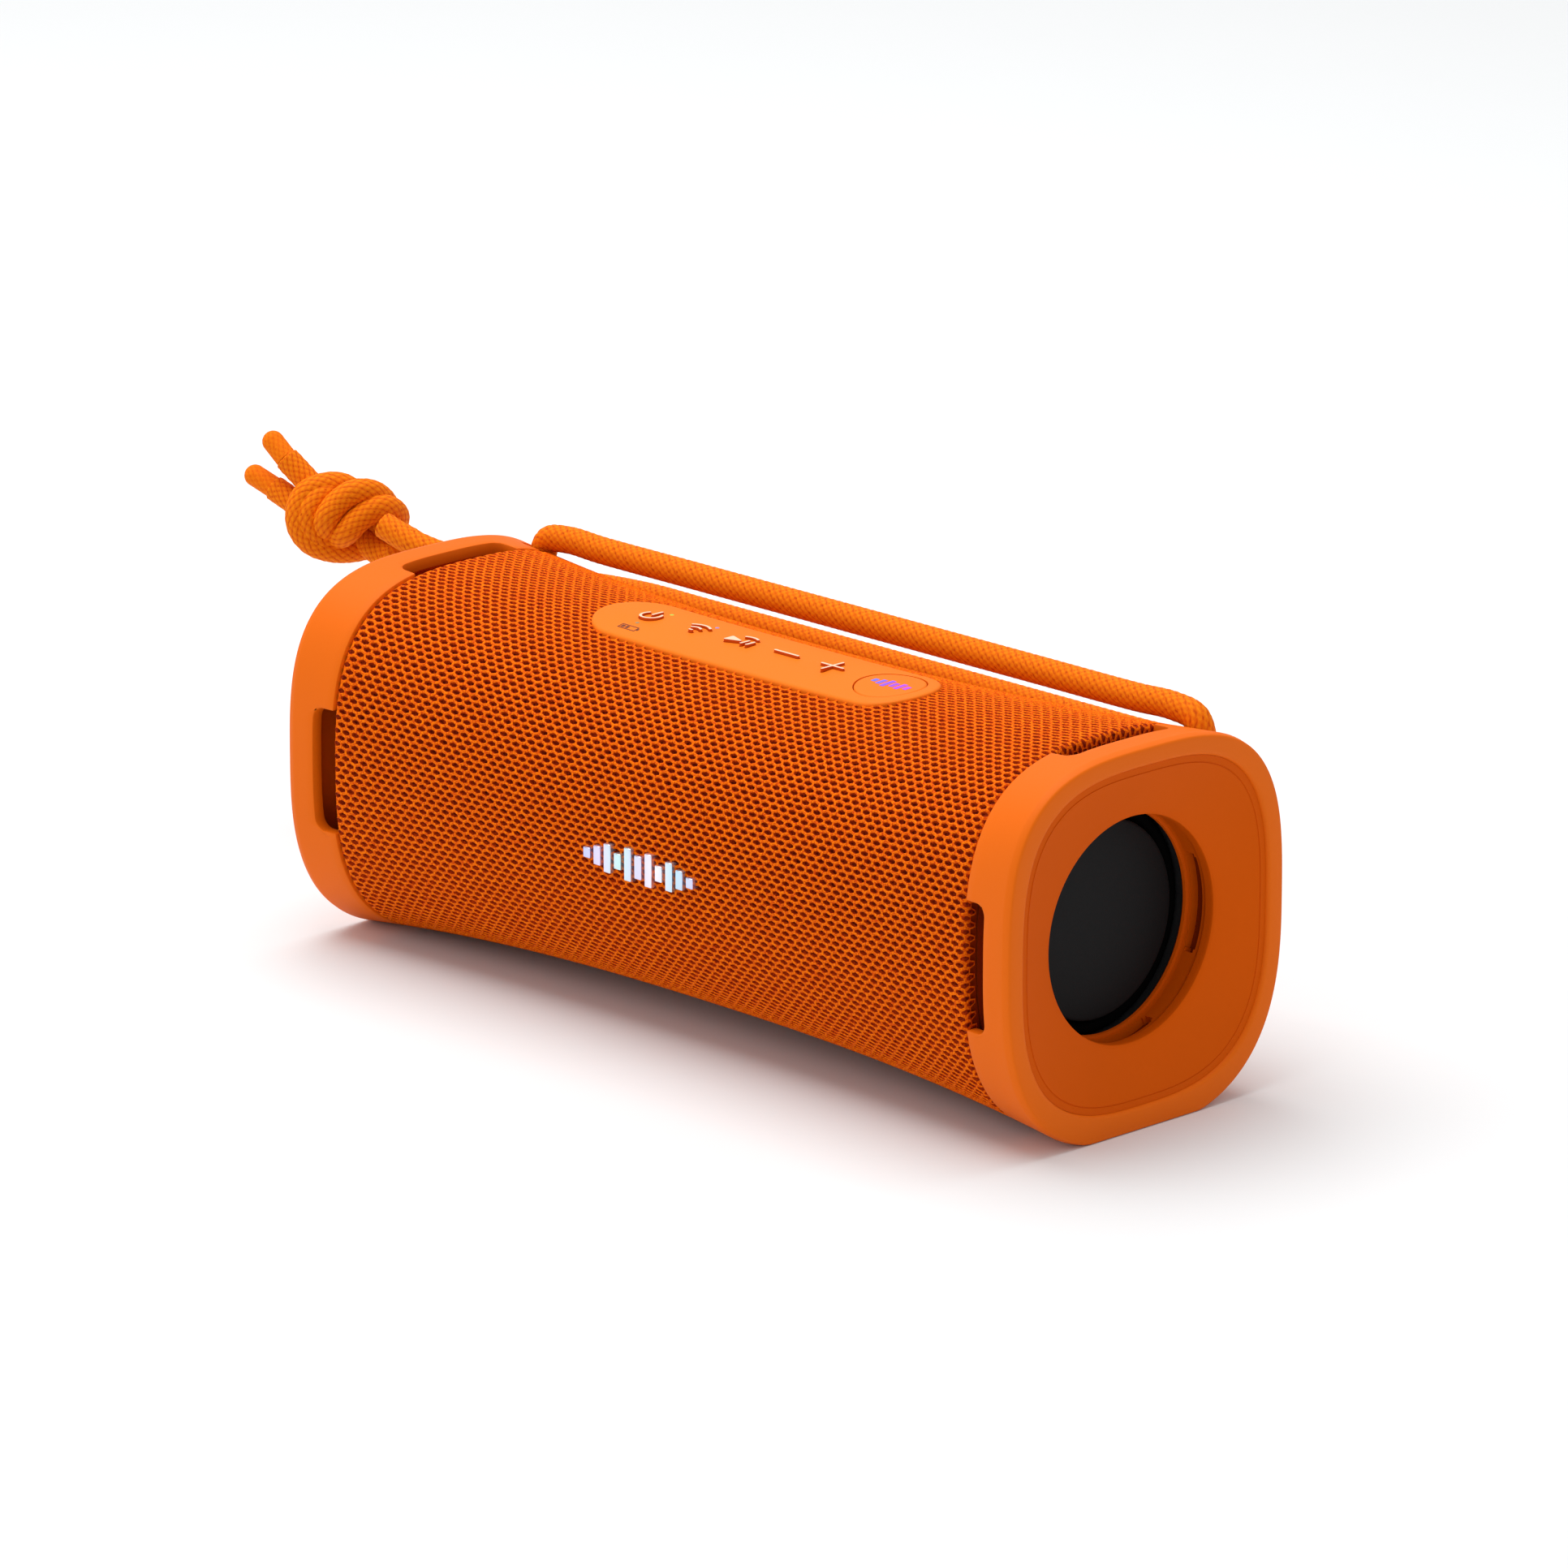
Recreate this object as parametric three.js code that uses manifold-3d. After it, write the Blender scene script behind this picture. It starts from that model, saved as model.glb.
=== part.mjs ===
// A portable bluetooth speaker: a waisted body in a fabric sleeve between two bumper rings, with a key panel on
// top, a passive radiator in each end and a cord strap along its top rear edge.
// Units are millimetres. X runs along the body, -Y is the front and Z is up. The origin is at the bottom centre.
import * as THREE from "three";
import { mergeVertices } from "three/addons/utils/BufferGeometryUtils.js";
import Module from "manifold-3d";

// ---- Driving dimensions ----
const HALF_LENGTH = 103; // to the outer face of an end ring
const AXIS_Z = 38.45; // height of the body's long axis
// The section is a superellipse whose upper and lower halves differ. It swells from WAIST to RIM along the body.
const WAIST = { width: 35.4, up: 36.8, down: 35.3, sharpUp: 2.2, sharpDown: 2.5 };
const RIM = { width: 38.24, up: 38.5, down: 40.2, sharpUp: 3.17, sharpDown: 2.69 };
const RIM_X = 102;
const SWELL = 2.43; // how late the swelling sets in
const SIDES = 32; // facets round the body

const FABRIC_THICK = 1.5;
const FABRIC_END = 90.1;
const CABINET_SIDES = 28;
const CABINET = { end: 89.6, outer: 1.9, wall: 2.2, splitY: 14, gasket: 1 };
const BAFFLE = { inner: 85.6, outer: 89.6, inset: 4.5, holeRadius: 25.4 };
const RING = { inner: 90.4, wall: 2.6, edge: 0.8, panelSeat: 98 };
const OPENING = { width: 33.7, up: 34.1, down: 34.1, sharpUp: 3.1, sharpDown: 2.9 }; // of a ring's outer face
const GAP = 0.3; // between touching pieces

const THROAT = { z: 39.1, rimX: 98.75, rimRadius: 22.8, baseX: 90.5, baseRadius: 25.2, wall: 1.3 };
const PANEL_THICK = 1.6;
const RADIATOR = {
  frameRadius: 24.9, frameWall: 0.9, discRadius: 20.1, faceX: 89.7, backX: 82.5, bevel: 0.5,
  rollX: 87.4, rollRadius: 1.55,
};
const SCREW = { radial: 34.5, shank: 1.3, head: 2.3, length: 9, boss: 3.6 };
const SCREW_ANGLES = { front_top: 135, front_bottom: 225, rear_bottom: 315 };

// Slots are cut from the fabric side of a ring.
const SIDE_SLOT = { half: 13, depthX: 5.4, corner: 2.4, drop: 0.3, rearDrop: 1.5 };
const STRAP_SLOT = { width: 6.9, topFrom: 20.6, topTo: 28.4, rearFrom: 52, rearTo: 61.6 };

const PAD = { y: -2.8, halfWidth: 10, centreX: 35.4, proud: 0.5, under: 1.3 };
const TRAY = { top: 71.3, wall: 1.3, floor: 1.5, drop: 0.7 };
const KEY = { baseBottom: 72.2, baseTop: 73, top: 76.6, stroke: 0.34 };
const BOARD = { top: 70.1, thick: 1.2, switchHeight: 1.5 };


const KEYS = [
  { name: "power", x: -32.7, base: 3.1 },
  { name: "pairing", x: -19.5, base: 3.1 },
  { name: "play", x: -6.2, base: 4.2 },
  { name: "volume_down", x: 6.2, base: 3.4 },
  { name: "volume_up", x: 19.1, base: 3.4 },
];
const KEY_Y = -2.6;
const SOUND_KEY = { x: 35.4, y: -2.8, radius: 7.2 };
const LIGHTS = [
  { name: "power_light", x: -30.9, y: 1.35 },
  { name: "pairing_light", x: -17.8, y: 1.35 },
  { name: "charge_light", x: -32.4, y: -6.7 },
];
const LIGHT_RADIUS = 0.5;

const PORT = {
  x: 58, z: 30, halfWidth: 12.5, halfHeight: 6.5, rim: 1.3, faceY: 36.6, flapThick: 1.6, corner: 3,
};
const BADGE = { x: -1.4, z: 37.3, halfWidth: 15.5, halfHeight: 3.3, faceY: -36.1, barHalf: 0.65 };
// Half-heights of the bars of a level meter.
const BADGE_BARS = [1, 1.8, 2.7, 1.5, 3.1, 2.2, 3.1, 1.5, 2.7, 1.8, 1];

const WOOFER = { x: -14, z: 38, halfLength: 20.5, radius: 21, frontY: -24.6 };
const TWEETER = { x: 50, z: 38, radius: 10, frontY: -29.6 };
const CELL = { radius: 9.2, length: 65, x: -48, y: 15.5, lowZ: 22.5, highZ: 42.5 };
const MAIN_BOARD = { x0: 32, x1: 80, z0: 16, z1: 58, rearY: 24, thick: 1.6 };

// The strap's centreline, from the knot round both rear corners and back. Both ends are in the knot.
const STRAP_RADIUS = 2.8;
const STRAP_PATH = [
  [-151, 33.4, 59.5], [-143, 36, 56], [-133, 39, 54.2], [-121, 42, 53.3], [-110, 44, 53.2],
  [-102, 44.3, 54.2], [-96.6, 42.8, 55.8], [-94, 38, 56.4], [-93.9, 30.6, 57.6], [-93.9, 26, 61.4],
  [-93.9, 24.3, 67], [-93.7, 24.3, 71.8], [-91.9, 24.3, 75.3], [-86, 24.4, 76.4], [-76, 24.4, 76.15],
  [-50, 24.4, 76.15], [0, 24.4, 76.15], [50, 24.4, 76.15], [76, 24.4, 76.15], [86, 24.4, 76.4],
  [91.9, 24.3, 75.3], [93.7, 24.3, 71.8], [93.9, 24.3, 67], [93.9, 26, 61.4], [93.9, 30.6, 57.6],
  [93.8, 36.4, 57], [91.4, 40.6, 58.6], [86.5, 40.6, 61.6], [79, 38.8, 63.4], [60, 38, 63.7], [20, 38, 63.7],
  [-20, 38, 63.7], [-60, 38, 63.7], [-76, 38.8, 63.4], [-90, 40.2, 62.2], [-104, 40.3, 60.9],
  [-118, 38.8, 60.3], [-132, 36, 60.8], [-143, 33.2, 62.9], [-151, 31.6, 65.7],
];
const STRAP_STEPS = 60;
const KNOT = { centre: [-163.6, 31, 65.6], half: [12.1, 9.6, 9.4] };
const TAILS = {
  a: { from: [-172, 29.6, 74.2], to: [-178.6, 28.6, 79.3], tip: [-184.2, 27.8, 83.6] },
  b: { from: [-176.3, 29.2, 68.6], to: [-181.6, 28.3, 71.2], tip: [-188, 27.3, 74.2] },
};

// ---- Materials ----
const finish = (color, roughness, metalness = 0) =>
  new THREE.MeshStandardMaterial({ color, roughness, metalness });
const FABRIC = finish(0xd8590c, 0.95);
const BUMPER = finish(0xf07a22, 0.55);
const END_PLATE = finish(0xb94d12, 0.6);
const PAD_RUBBER = finish(0xf58432, 0.6);
const KEY_RUBBER = finish(0xf4a884, 0.6);
const BLACK_PLASTIC = finish(0x1b1b1c, 0.55);
const BLACK_RUBBER = finish(0x0c0c0d, 0.75);
const CABINET_PLASTIC = finish(0xb5420c, 0.6);
const STEEL = finish(0x9a9a9c, 0.35, 1);
const BADGE_METAL = finish(0xc9cfe4, 0.2, 1);
const BOARD_GREEN = finish(0x1e5a34, 0.5);
const CELL_WRAP = finish(0x2b4f8f, 0.4);
const CORD = finish(0xe8780f, 0.85);
const LIGHT_PIPE = finish(0xdfe8d0, 0.2);

// ---- Solids ----
const wasm = await Module();
wasm.setup();

function toSolid(geometry) {
  const bare = geometry.clone();
  bare.deleteAttribute("normal");
  bare.deleteAttribute("uv");
  const merged = mergeVertices(bare, 1e-4);
  return new wasm.Manifold(
    new wasm.Mesh({
      numProp: 3,
      vertProperties: merged.attributes.position.array,
      triVerts: new Uint32Array(merged.index.array),
    }),
  );
}

function toGeometry(solid) {
  const mesh = solid.getMesh();
  const geometry = new THREE.BufferGeometry();
  geometry.setAttribute("position", new THREE.BufferAttribute(mesh.vertProperties, 3));
  geometry.setIndex(new THREE.BufferAttribute(mesh.triVerts, 1));
  geometry.computeVertexNormals();
  return geometry;
}

const join = (...solids) => solids.reduce((sum, solid) => sum.add(solid));

function box(x0, x1, y0, y1, z0, z1) {
  const geometry = new THREE.BoxGeometry(x1 - x0, y1 - y0, z1 - z0);
  return toSolid(geometry.translate((x0 + x1) / 2, (y0 + y1) / 2, (z0 + z1) / 2));
}

// A cylinder or cone along X, Y or Z that starts at `from`.
function rod(axis, from, length, radius, farRadius = radius, sides = 16) {
  const geometry = new THREE.CylinderGeometry(farRadius, radius, length, sides).translate(0, length / 2, 0);
  if (axis === "x") geometry.rotateZ(-Math.PI / 2);
  if (axis === "z") geometry.rotateX(Math.PI / 2);
  return toSolid(geometry.translate(...from));
}

// A body of revolution about an axis parallel to X. Its profile is a closed list of [radius, x] points.
function turned(profile, y, z, sides = 24) {
  const points = profile.map(([radius, x]) => new THREE.Vector2(radius, x));
  const geometry = new THREE.LatheGeometry(points, sides);
  return toSolid(geometry.rotateZ(-Math.PI / 2).translate(0, y, z));
}

// A flat outline pushed along Z from z0 to z1.
function prism(shape, z0, z1) {
  const settings = { depth: z1 - z0, bevelEnabled: false, curveSegments: 6 };
  const geometry = new THREE.ExtrudeGeometry(shape, settings);
  return toSolid(geometry.translate(0, 0, z0));
}

// A flat outline in the XZ plane pushed along Y from y0 to y1.
function prismY(shape, y0, y1, segments = 3) {
  const options = { depth: y1 - y0, bevelEnabled: false, curveSegments: segments };
  const geometry = new THREE.ExtrudeGeometry(shape, options);
  return toSolid(geometry.rotateX(Math.PI / 2).translate(0, y1, 0));
}

function stadium(halfLength, radius, cx = 0, cy = 0) {
  const shape = new THREE.Shape();
  shape.moveTo(cx - halfLength, cy - radius);
  shape.lineTo(cx + halfLength, cy - radius);
  shape.absarc(cx + halfLength, cy, radius, -Math.PI / 2, Math.PI / 2, false);
  shape.lineTo(cx - halfLength, cy + radius);
  shape.absarc(cx - halfLength, cy, radius, Math.PI / 2, (3 * Math.PI) / 2, false);
  return shape;
}

function roundedRectangle(halfWidth, halfHeight, corner, cx = 0, cy = 0) {
  const [right, top] = [cx + halfWidth, cy + halfHeight];
  const [left, bottom] = [cx - halfWidth, cy - halfHeight];
  const quarter = Math.PI / 2;
  const shape = new THREE.Shape();
  shape.moveTo(left + corner, bottom);
  shape.lineTo(right - corner, bottom);
  shape.absarc(right - corner, bottom + corner, corner, -quarter, 0, false);
  shape.lineTo(right, top - corner);
  shape.absarc(right - corner, top - corner, corner, 0, quarter, false);
  shape.lineTo(left + corner, top);
  shape.absarc(left + corner, top - corner, corner, quarter, 2 * quarter, false);
  shape.lineTo(left, bottom + corner);
  shape.absarc(left + corner, bottom + corner, corner, 2 * quarter, 3 * quarter, false);
  return shape;
}

// ---- The body's skin ----
function sectionAt(x) {
  const blend = Math.pow(Math.min(Math.abs(x), RIM_X) / RIM_X, SWELL);
  const section = {};
  for (const key of Object.keys(WAIST)) section[key] = WAIST[key] + (RIM[key] - WAIST[key]) * blend;
  return section;
}

// The distance from the long axis to a superellipse, in the direction of `angle`.
function reach(section, angle, inset) {
  const upper = Math.sin(angle) >= 0;
  const half = (upper ? section.up : section.down) - inset;
  const sharp = upper ? section.sharpUp : section.sharpDown;
  const across = Math.pow(Math.abs(Math.cos(angle)) / (section.width - inset), sharp);
  return Math.pow(across + Math.pow(Math.abs(Math.sin(angle)) / half, sharp), -1 / sharp);
}

// A closed body through stations [x, radiusAt(angle), centreZ], made by moving the points of a cylinder.
function loft(stations, sides = SIDES) {
  const geometry = new THREE.CylinderGeometry(1, 1, 1, sides, stations.length - 1);
  const points = geometry.attributes.position;
  for (let i = 0; i < points.count; i += 1) {
    const [across, up] = [-points.getZ(i), points.getX(i)];
    const [x, radiusAt, centreZ] = stations[Math.round((0.5 - points.getY(i)) * (stations.length - 1))];
    const size = Math.hypot(across, up) < 0.5 ? 0 : radiusAt(Math.atan2(up, across));
    points.setXYZ(i, x, across * size, centreZ + up * size);
  }
  return toSolid(geometry);
}

// The body's own shape between stations of x, each `inset` inside the skin.
const skinLoft = (xs, inset, sides) =>
  loft(xs.map((x) => [x, (angle) => reach(sectionAt(x), angle, inset), AXIS_Z]), sides);

const ABOVE_FLOOR = (clearance) => box(-120, 120, -60, 60, clearance, 100);
const LONG_STATIONS = [0, 36, 66];
const bothWays = (end) => {
  const right = [...LONG_STATIONS, end];
  return [...right.slice(1).map((x) => -x).reverse(), ...right];
};

// The group of named sub-parts.
const speaker = new THREE.Group();
function part(name, solid, material) {
  const mesh = new THREE.Mesh(toGeometry(solid), material);
  mesh.name = name;
  speaker.add(mesh);
}

// Right-hand solids are modelled once and mirrored for the left end.
const MIRROR = [-1, 0, 0, 0, 0, 1, 0, 0, 0, 0, 1, 0, 0, 0, 0, 1];
function onBothEnds(name, solid, material) {
  part("right_" + name, solid, material);
  part("left_" + name, solid.transform(MIRROR), material);
}

// ---- Key symbols: each is a list of strokes, and a stroke is a list of [x, y] points ----
function arcStroke(cx, cy, radius, fromDeg, toDeg, steps) {
  const points = [];
  for (let i = 0; i <= steps; i += 1) {
    const angle = THREE.MathUtils.degToRad(fromDeg + ((toDeg - fromDeg) * i) / steps);
    points.push([cx + radius * Math.cos(angle), cy + radius * Math.sin(angle)]);
  }
  return points;
}

const SYMBOLS = {
  power: [arcStroke(0, 0, 2.2, 145, 395, 8), [[0, 1], [0, 3]]],
  pairing: [
    arcStroke(0, -1.7, 2, 50, 130, 3), arcStroke(0, -1.7, 3.9, 50, 130, 4), [[-0.3, -1.7], [0.3, -1.7]],
  ],
  play: [
    [[-3.6, -1.5], [-3.6, 0.7]],
    [[-3.2, -1.3], [-0.6, -0.4]],
    [[-0.6, -0.4], [-3.2, 0.5]],
    [[-3.2, -0.4], [-1.2, -0.4]],
    [[0.9, -1.5], [0.9, 0.7]],
    [[2.4, -1.5], [2.4, 0.7]],
    arcStroke(0, -0.6, 3.5, 60, 118, 4),
  ],
  volume_down: [[[-3.2, 0], [3.2, 0]]],
  volume_up: [[[-2.9, 0], [2.9, 0]], [[0, -2.9], [0, 2.9]]],
};

function strokesSolid(strokes, cx, cy, halfWidth, z0, z1) {
  const bars = [];
  for (const stroke of strokes) {
    for (let i = 1; i < stroke.length; i += 1) {
      const [ax, ay] = stroke[i - 1];
      const [bx, by] = stroke[i];
      const length = Math.hypot(bx - ax, by - ay) + 2 * halfWidth * 0.98;
      const geometry = new THREE.BoxGeometry(length, 2 * halfWidth, z1 - z0);
      geometry.rotateZ(Math.atan2(by - ay, bx - ax));
      bars.push(toSolid(geometry.translate(cx + (ax + bx) / 2, cy + (ay + by) / 2, (z0 + z1) / 2)));
    }
  }
  return join(...bars);
}

// Holes for the key panel and the port, through the sleeve and the cabinet alike.
const padOutline = (inset) => stadium(PAD.centreX, PAD.halfWidth - inset, 0, PAD.y);
const padHole = () => prism(padOutline(-GAP), 60, 90);
const portOutline = (inset, corner) =>
  roundedRectangle(PORT.halfWidth - inset, PORT.halfHeight - inset, corner, PORT.x, PORT.z);
const portHole = () => prismY(portOutline(-GAP, PORT.corner + GAP), 20, 50);

function buildSleeve() {
  const outer = skinLoft(bothWays(FABRIC_END), 0, SIDES);
  const inner = skinLoft(bothWays(FABRIC_END + 1), FABRIC_THICK, SIDES);
  const badgeHole = box(
    BADGE.x - BADGE.halfWidth - GAP, BADGE.x + BADGE.halfWidth + GAP, -50, -20,
    BADGE.z - BADGE.halfHeight - GAP, BADGE.z + BADGE.halfHeight + GAP);
  const sleeve = outer.subtract(inner).intersect(ABOVE_FLOOR(0.4));
  part("fabric_sleeve", sleeve.subtract(join(padHole(), portHole(), badgeHole)), FABRIC);
}

// ---- Cabinet ----
function buildCabinet() {
  const xs = bothWays(CABINET.end);
  const shell = skinLoft(xs, CABINET.outer, CABINET_SIDES)
    .subtract(skinLoft(bothWays(CABINET.end + 1), CABINET.outer + CABINET.wall, CABINET_SIDES))
    .intersect(ABOVE_FLOOR(2));
  const grilleSlots = [box(TWEETER.x - 7, TWEETER.x + 7, -45, -25, 31, 45)];
  for (let i = -2; i <= 2; i += 1) {
    const x = WOOFER.x + i * 13;
    grilleSlots.push(box(x - 4.5, x + 4.5, -45, -25, WOOFER.z - 14, WOOFER.z + 14));
  }
  const openings = join(padHole(), portHole(), ...grilleSlots);
  const front = shell.intersect(box(-100, 100, -50, CABINET.splitY - CABINET.gasket / 2 - GAP, -5, 90));
  const rear = shell.intersect(box(-100, 100, CABINET.splitY + CABINET.gasket / 2 + GAP, 50, -5, 90));
  part("cabinet_front", front.subtract(openings), CABINET_PLASTIC);
  part("cabinet_rear", rear.subtract(openings), CABINET_PLASTIC);

  const [y0, y1] = [CABINET.splitY - CABINET.gasket / 2, CABINET.splitY + CABINET.gasket / 2];
  const seam = shell.intersect(box(-CABINET.end, CABINET.end, y0, y1, -5, 90));
  part("gasket_top", seam.intersect(box(-100, 100, -50, 50, AXIS_Z, 90)), BLACK_RUBBER);
  part("gasket_bottom", seam.intersect(box(-100, 100, -50, 50, -5, AXIS_Z)), BLACK_RUBBER);
}

// ---- One end of the body ----
const screwPlace = (angleDeg) => {
  const angle = THREE.MathUtils.degToRad(angleDeg);
  return [SCREW.radial * Math.cos(angle), AXIS_Z + SCREW.radial * Math.sin(angle)];
};

function buildEnd() {
  // Baffle: closes the cabinet and holds the passive radiator.
  const plate = loft(
    [BAFFLE.inner, BAFFLE.outer].map((x) =>
      [x, (angle) => reach(sectionAt(x), angle, BAFFLE.inset), AXIS_Z]), 32);
  const baffleHole = rod("x", [BAFFLE.inner - 1, 0, THROAT.z], 8, BAFFLE.holeRadius, BAFFLE.holeRadius, 32);
  let baffle = plate.subtract(baffleHole);

  // Ring: a shell that follows the skin, open inwards, with the end panel's opening in its outer face.
  const ringStations = [
    [RING.inner, 0],
    [RIM_X, 0],
    [HALF_LENGTH, RING.edge],
  ];
  const ringBody = loft(
    ringStations.map(([x, inset]) => [x, (angle) => reach(sectionAt(x), angle, inset), AXIS_Z]));
  const hollow = skinLoft([RING.inner - 1, RING.panelSeat], RING.wall, SIDES);
  const opening = loft(
    [RING.panelSeat - 1, HALF_LENGTH - 0.8, HALF_LENGTH + 0.1].map((x, index) => [
      x, (angle) => reach(OPENING, angle, index === 2 ? 0 : 1.1), AXIS_Z + 0.3]));
  let ring = ringBody.subtract(join(hollow, opening)).intersect(ABOVE_FLOOR(0));

  // Slots at the fabric side: front, top, rear, and the strap's pair at the rear top corner.
  const slotEnd = RING.inner + SIDE_SLOT.depthX;
  const slotHalf = SIDE_SLOT.depthX + 2;
  const slotCentre = slotEnd - slotHalf;
  const slotOutline = (half, across) => roundedRectangle(slotHalf, half, SIDE_SLOT.corner, slotCentre, across);
  const frontSlot = prismY(slotOutline(SIDE_SLOT.half, AXIS_Z - SIDE_SLOT.drop), -50, -30);
  const topSlot = prism(slotOutline(SIDE_SLOT.half + 1, 0), 66, 90);
  const rearSlot = frontSlot.mirror([0, 1, 0]).translate([0, 0, -SIDE_SLOT.rearDrop]);
  const strapX = RING.inner + STRAP_SLOT.width;
  const strapTop = box(RING.inner - 1, strapX, STRAP_SLOT.topFrom, STRAP_SLOT.topTo, 60, 90);
  const strapRear = box(RING.inner - 1, strapX, 28, 50, STRAP_SLOT.rearFrom, STRAP_SLOT.rearTo);
  // Bosses reach from the baffle to the panel seat, joined to the ring's wall.
  const bosses = [];
  const screwHoles = [];
  const baffleHoles = [];
  for (const angle of Object.values(SCREW_ANGLES)) {
    const [y, z] = screwPlace(angle);
    bosses.push(rod("x", [RING.inner, y, z], 8, SCREW.boss, SCREW.boss, 12));
    bosses.push(box(RING.inner, RING.inner + 8, 0, 8, -1.8, 1.8).rotate([angle, 0, 0]).translate([0, y, z]));
    screwHoles.push(rod("x", [RING.inner - 1, y, z], 20, SCREW.shank + GAP, SCREW.shank + GAP, 12));
    screwHoles.push(rod("x", [RING.inner + 4.5, y, z], 10, SCREW.head + GAP, SCREW.head + GAP, 12));
    baffleHoles.push(rod("x", [BAFFLE.inner - 1, y, z], 8, SCREW.shank + GAP, SCREW.shank + GAP, 12));
  }
  const seatTrim = skinLoft([RING.inner - 2, RING.panelSeat + 3], 0.6, SIDES);
  ring = ring.subtract(join(frontSlot, topSlot, rearSlot, strapTop, strapRear));
  ring = ring.add(join(...bosses).intersect(seatTrim)).subtract(join(...screwHoles));
  baffle = baffle.subtract(join(...baffleHoles));
  onBothEnds("end_ring", ring, BUMPER);
  onBothEnds("baffle", baffle, BLACK_PLASTIC);

  for (const [corner, angle] of Object.entries(SCREW_ANGLES)) {
    const [y, z] = screwPlace(angle);
    const head = rod("x", [RING.inner + 4.8, y, z], 1.8, SCREW.head, SCREW.head * 0.85, 12);
    const tipX = RING.inner + 4.9 - SCREW.length;
    const shank = rod("x", [tipX, y, z], SCREW.length, SCREW.shank * 0.9, SCREW.shank, 8);
    onBothEnds("screw_" + corner, head.add(shank), STEEL);
  }

  // End panel: a dished plate with a round hole, whose flared throat stands on the radiator's frame.
  const dish = (x, blend) => [
    x,
    (angle) => (1 - blend) * reach(OPENING, angle, 1.5) + blend * THROAT.rimRadius,
    AXIS_Z + 0.3 + (THROAT.z - AXIS_Z - 0.3) * blend,
  ];
  const plateX = HALF_LENGTH - 1;
  const drop = plateX - THROAT.rimX;
  const dished = loft([dish(plateX - drop, 1), dish(plateX + 0.01, 0)]);
  const throatOuter = turned(
    [[0, THROAT.baseX], [THROAT.baseRadius + THROAT.wall, THROAT.baseX],
      [THROAT.rimRadius + THROAT.wall, THROAT.rimX - 0.8], [0, THROAT.rimX - 0.8]], 0, THROAT.z);
  const throatInner = turned(
    [[0, THROAT.baseX - 0.1], [THROAT.baseRadius, THROAT.baseX - 0.1], [THROAT.rimRadius, THROAT.rimX + 0.01],
      [THROAT.rimRadius, HALF_LENGTH], [0, HALF_LENGTH]], 0, THROAT.z);
  const plateSolid = loft([
    dish(RING.panelSeat - 1.4, 0.85), dish(plateX - PANEL_THICK, 0), dish(plateX, 0)]);
  let panel = plateSolid.subtract(dished).add(throatOuter).subtract(throatInner);
  const throatSlots = [];
  for (const quarter of [0, 90, 180, 270]) {
    const slot = box(92.2, 95.4, 20, 30, -11, 11);
    throatSlots.push(slot.rotate([quarter, 0, 0]).translate([0, 0, THROAT.z]));
  }
  panel = panel.subtract(join(...throatSlots));
  onBothEnds("end_panel", panel, END_PLATE);

  // Passive radiator: frame in the baffle's hole, half-roll surround, and a cup-shaped diaphragm.
  const { frameRadius, discRadius, faceX, backX, bevel, frameWall, rollX, rollRadius } = RADIATOR;
  const frameInner = frameRadius - frameWall;
  const [frameBack, frameFront] = [backX + 1.5, faceX + 0.4];
  onBothEnds("radiator_frame", turned(
    [[frameInner, frameBack], [frameRadius, frameBack], [frameRadius, frameFront], [frameInner, frameFront],
      [frameInner, frameBack]], 0, THROAT.z), BLACK_PLASTIC);
  const rollStart = [frameInner - GAP, rollX - 0.8];
  const rollCentre = (frameRadius + discRadius - 0.8) / 2;
  const roll = [rollStart];
  for (let i = 0; i <= 4; i += 1) {
    const angle = (Math.PI * i) / 4;
    roll.push([rollCentre + rollRadius * Math.cos(angle), rollX + rollRadius * Math.sin(angle)]);
  }
  roll.push([discRadius + GAP + 0.1, rollX - 0.8]);
  roll.push(rollStart);
  onBothEnds("radiator_surround", turned(roll, 0, THROAT.z), BLACK_RUBBER);
  onBothEnds("radiator_diaphragm", turned(
    [[0, backX], [discRadius, backX], [discRadius, faceX - bevel], [discRadius - bevel, faceX], [0, faceX]],
    0, THROAT.z), BLACK_PLASTIC);
}

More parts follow.
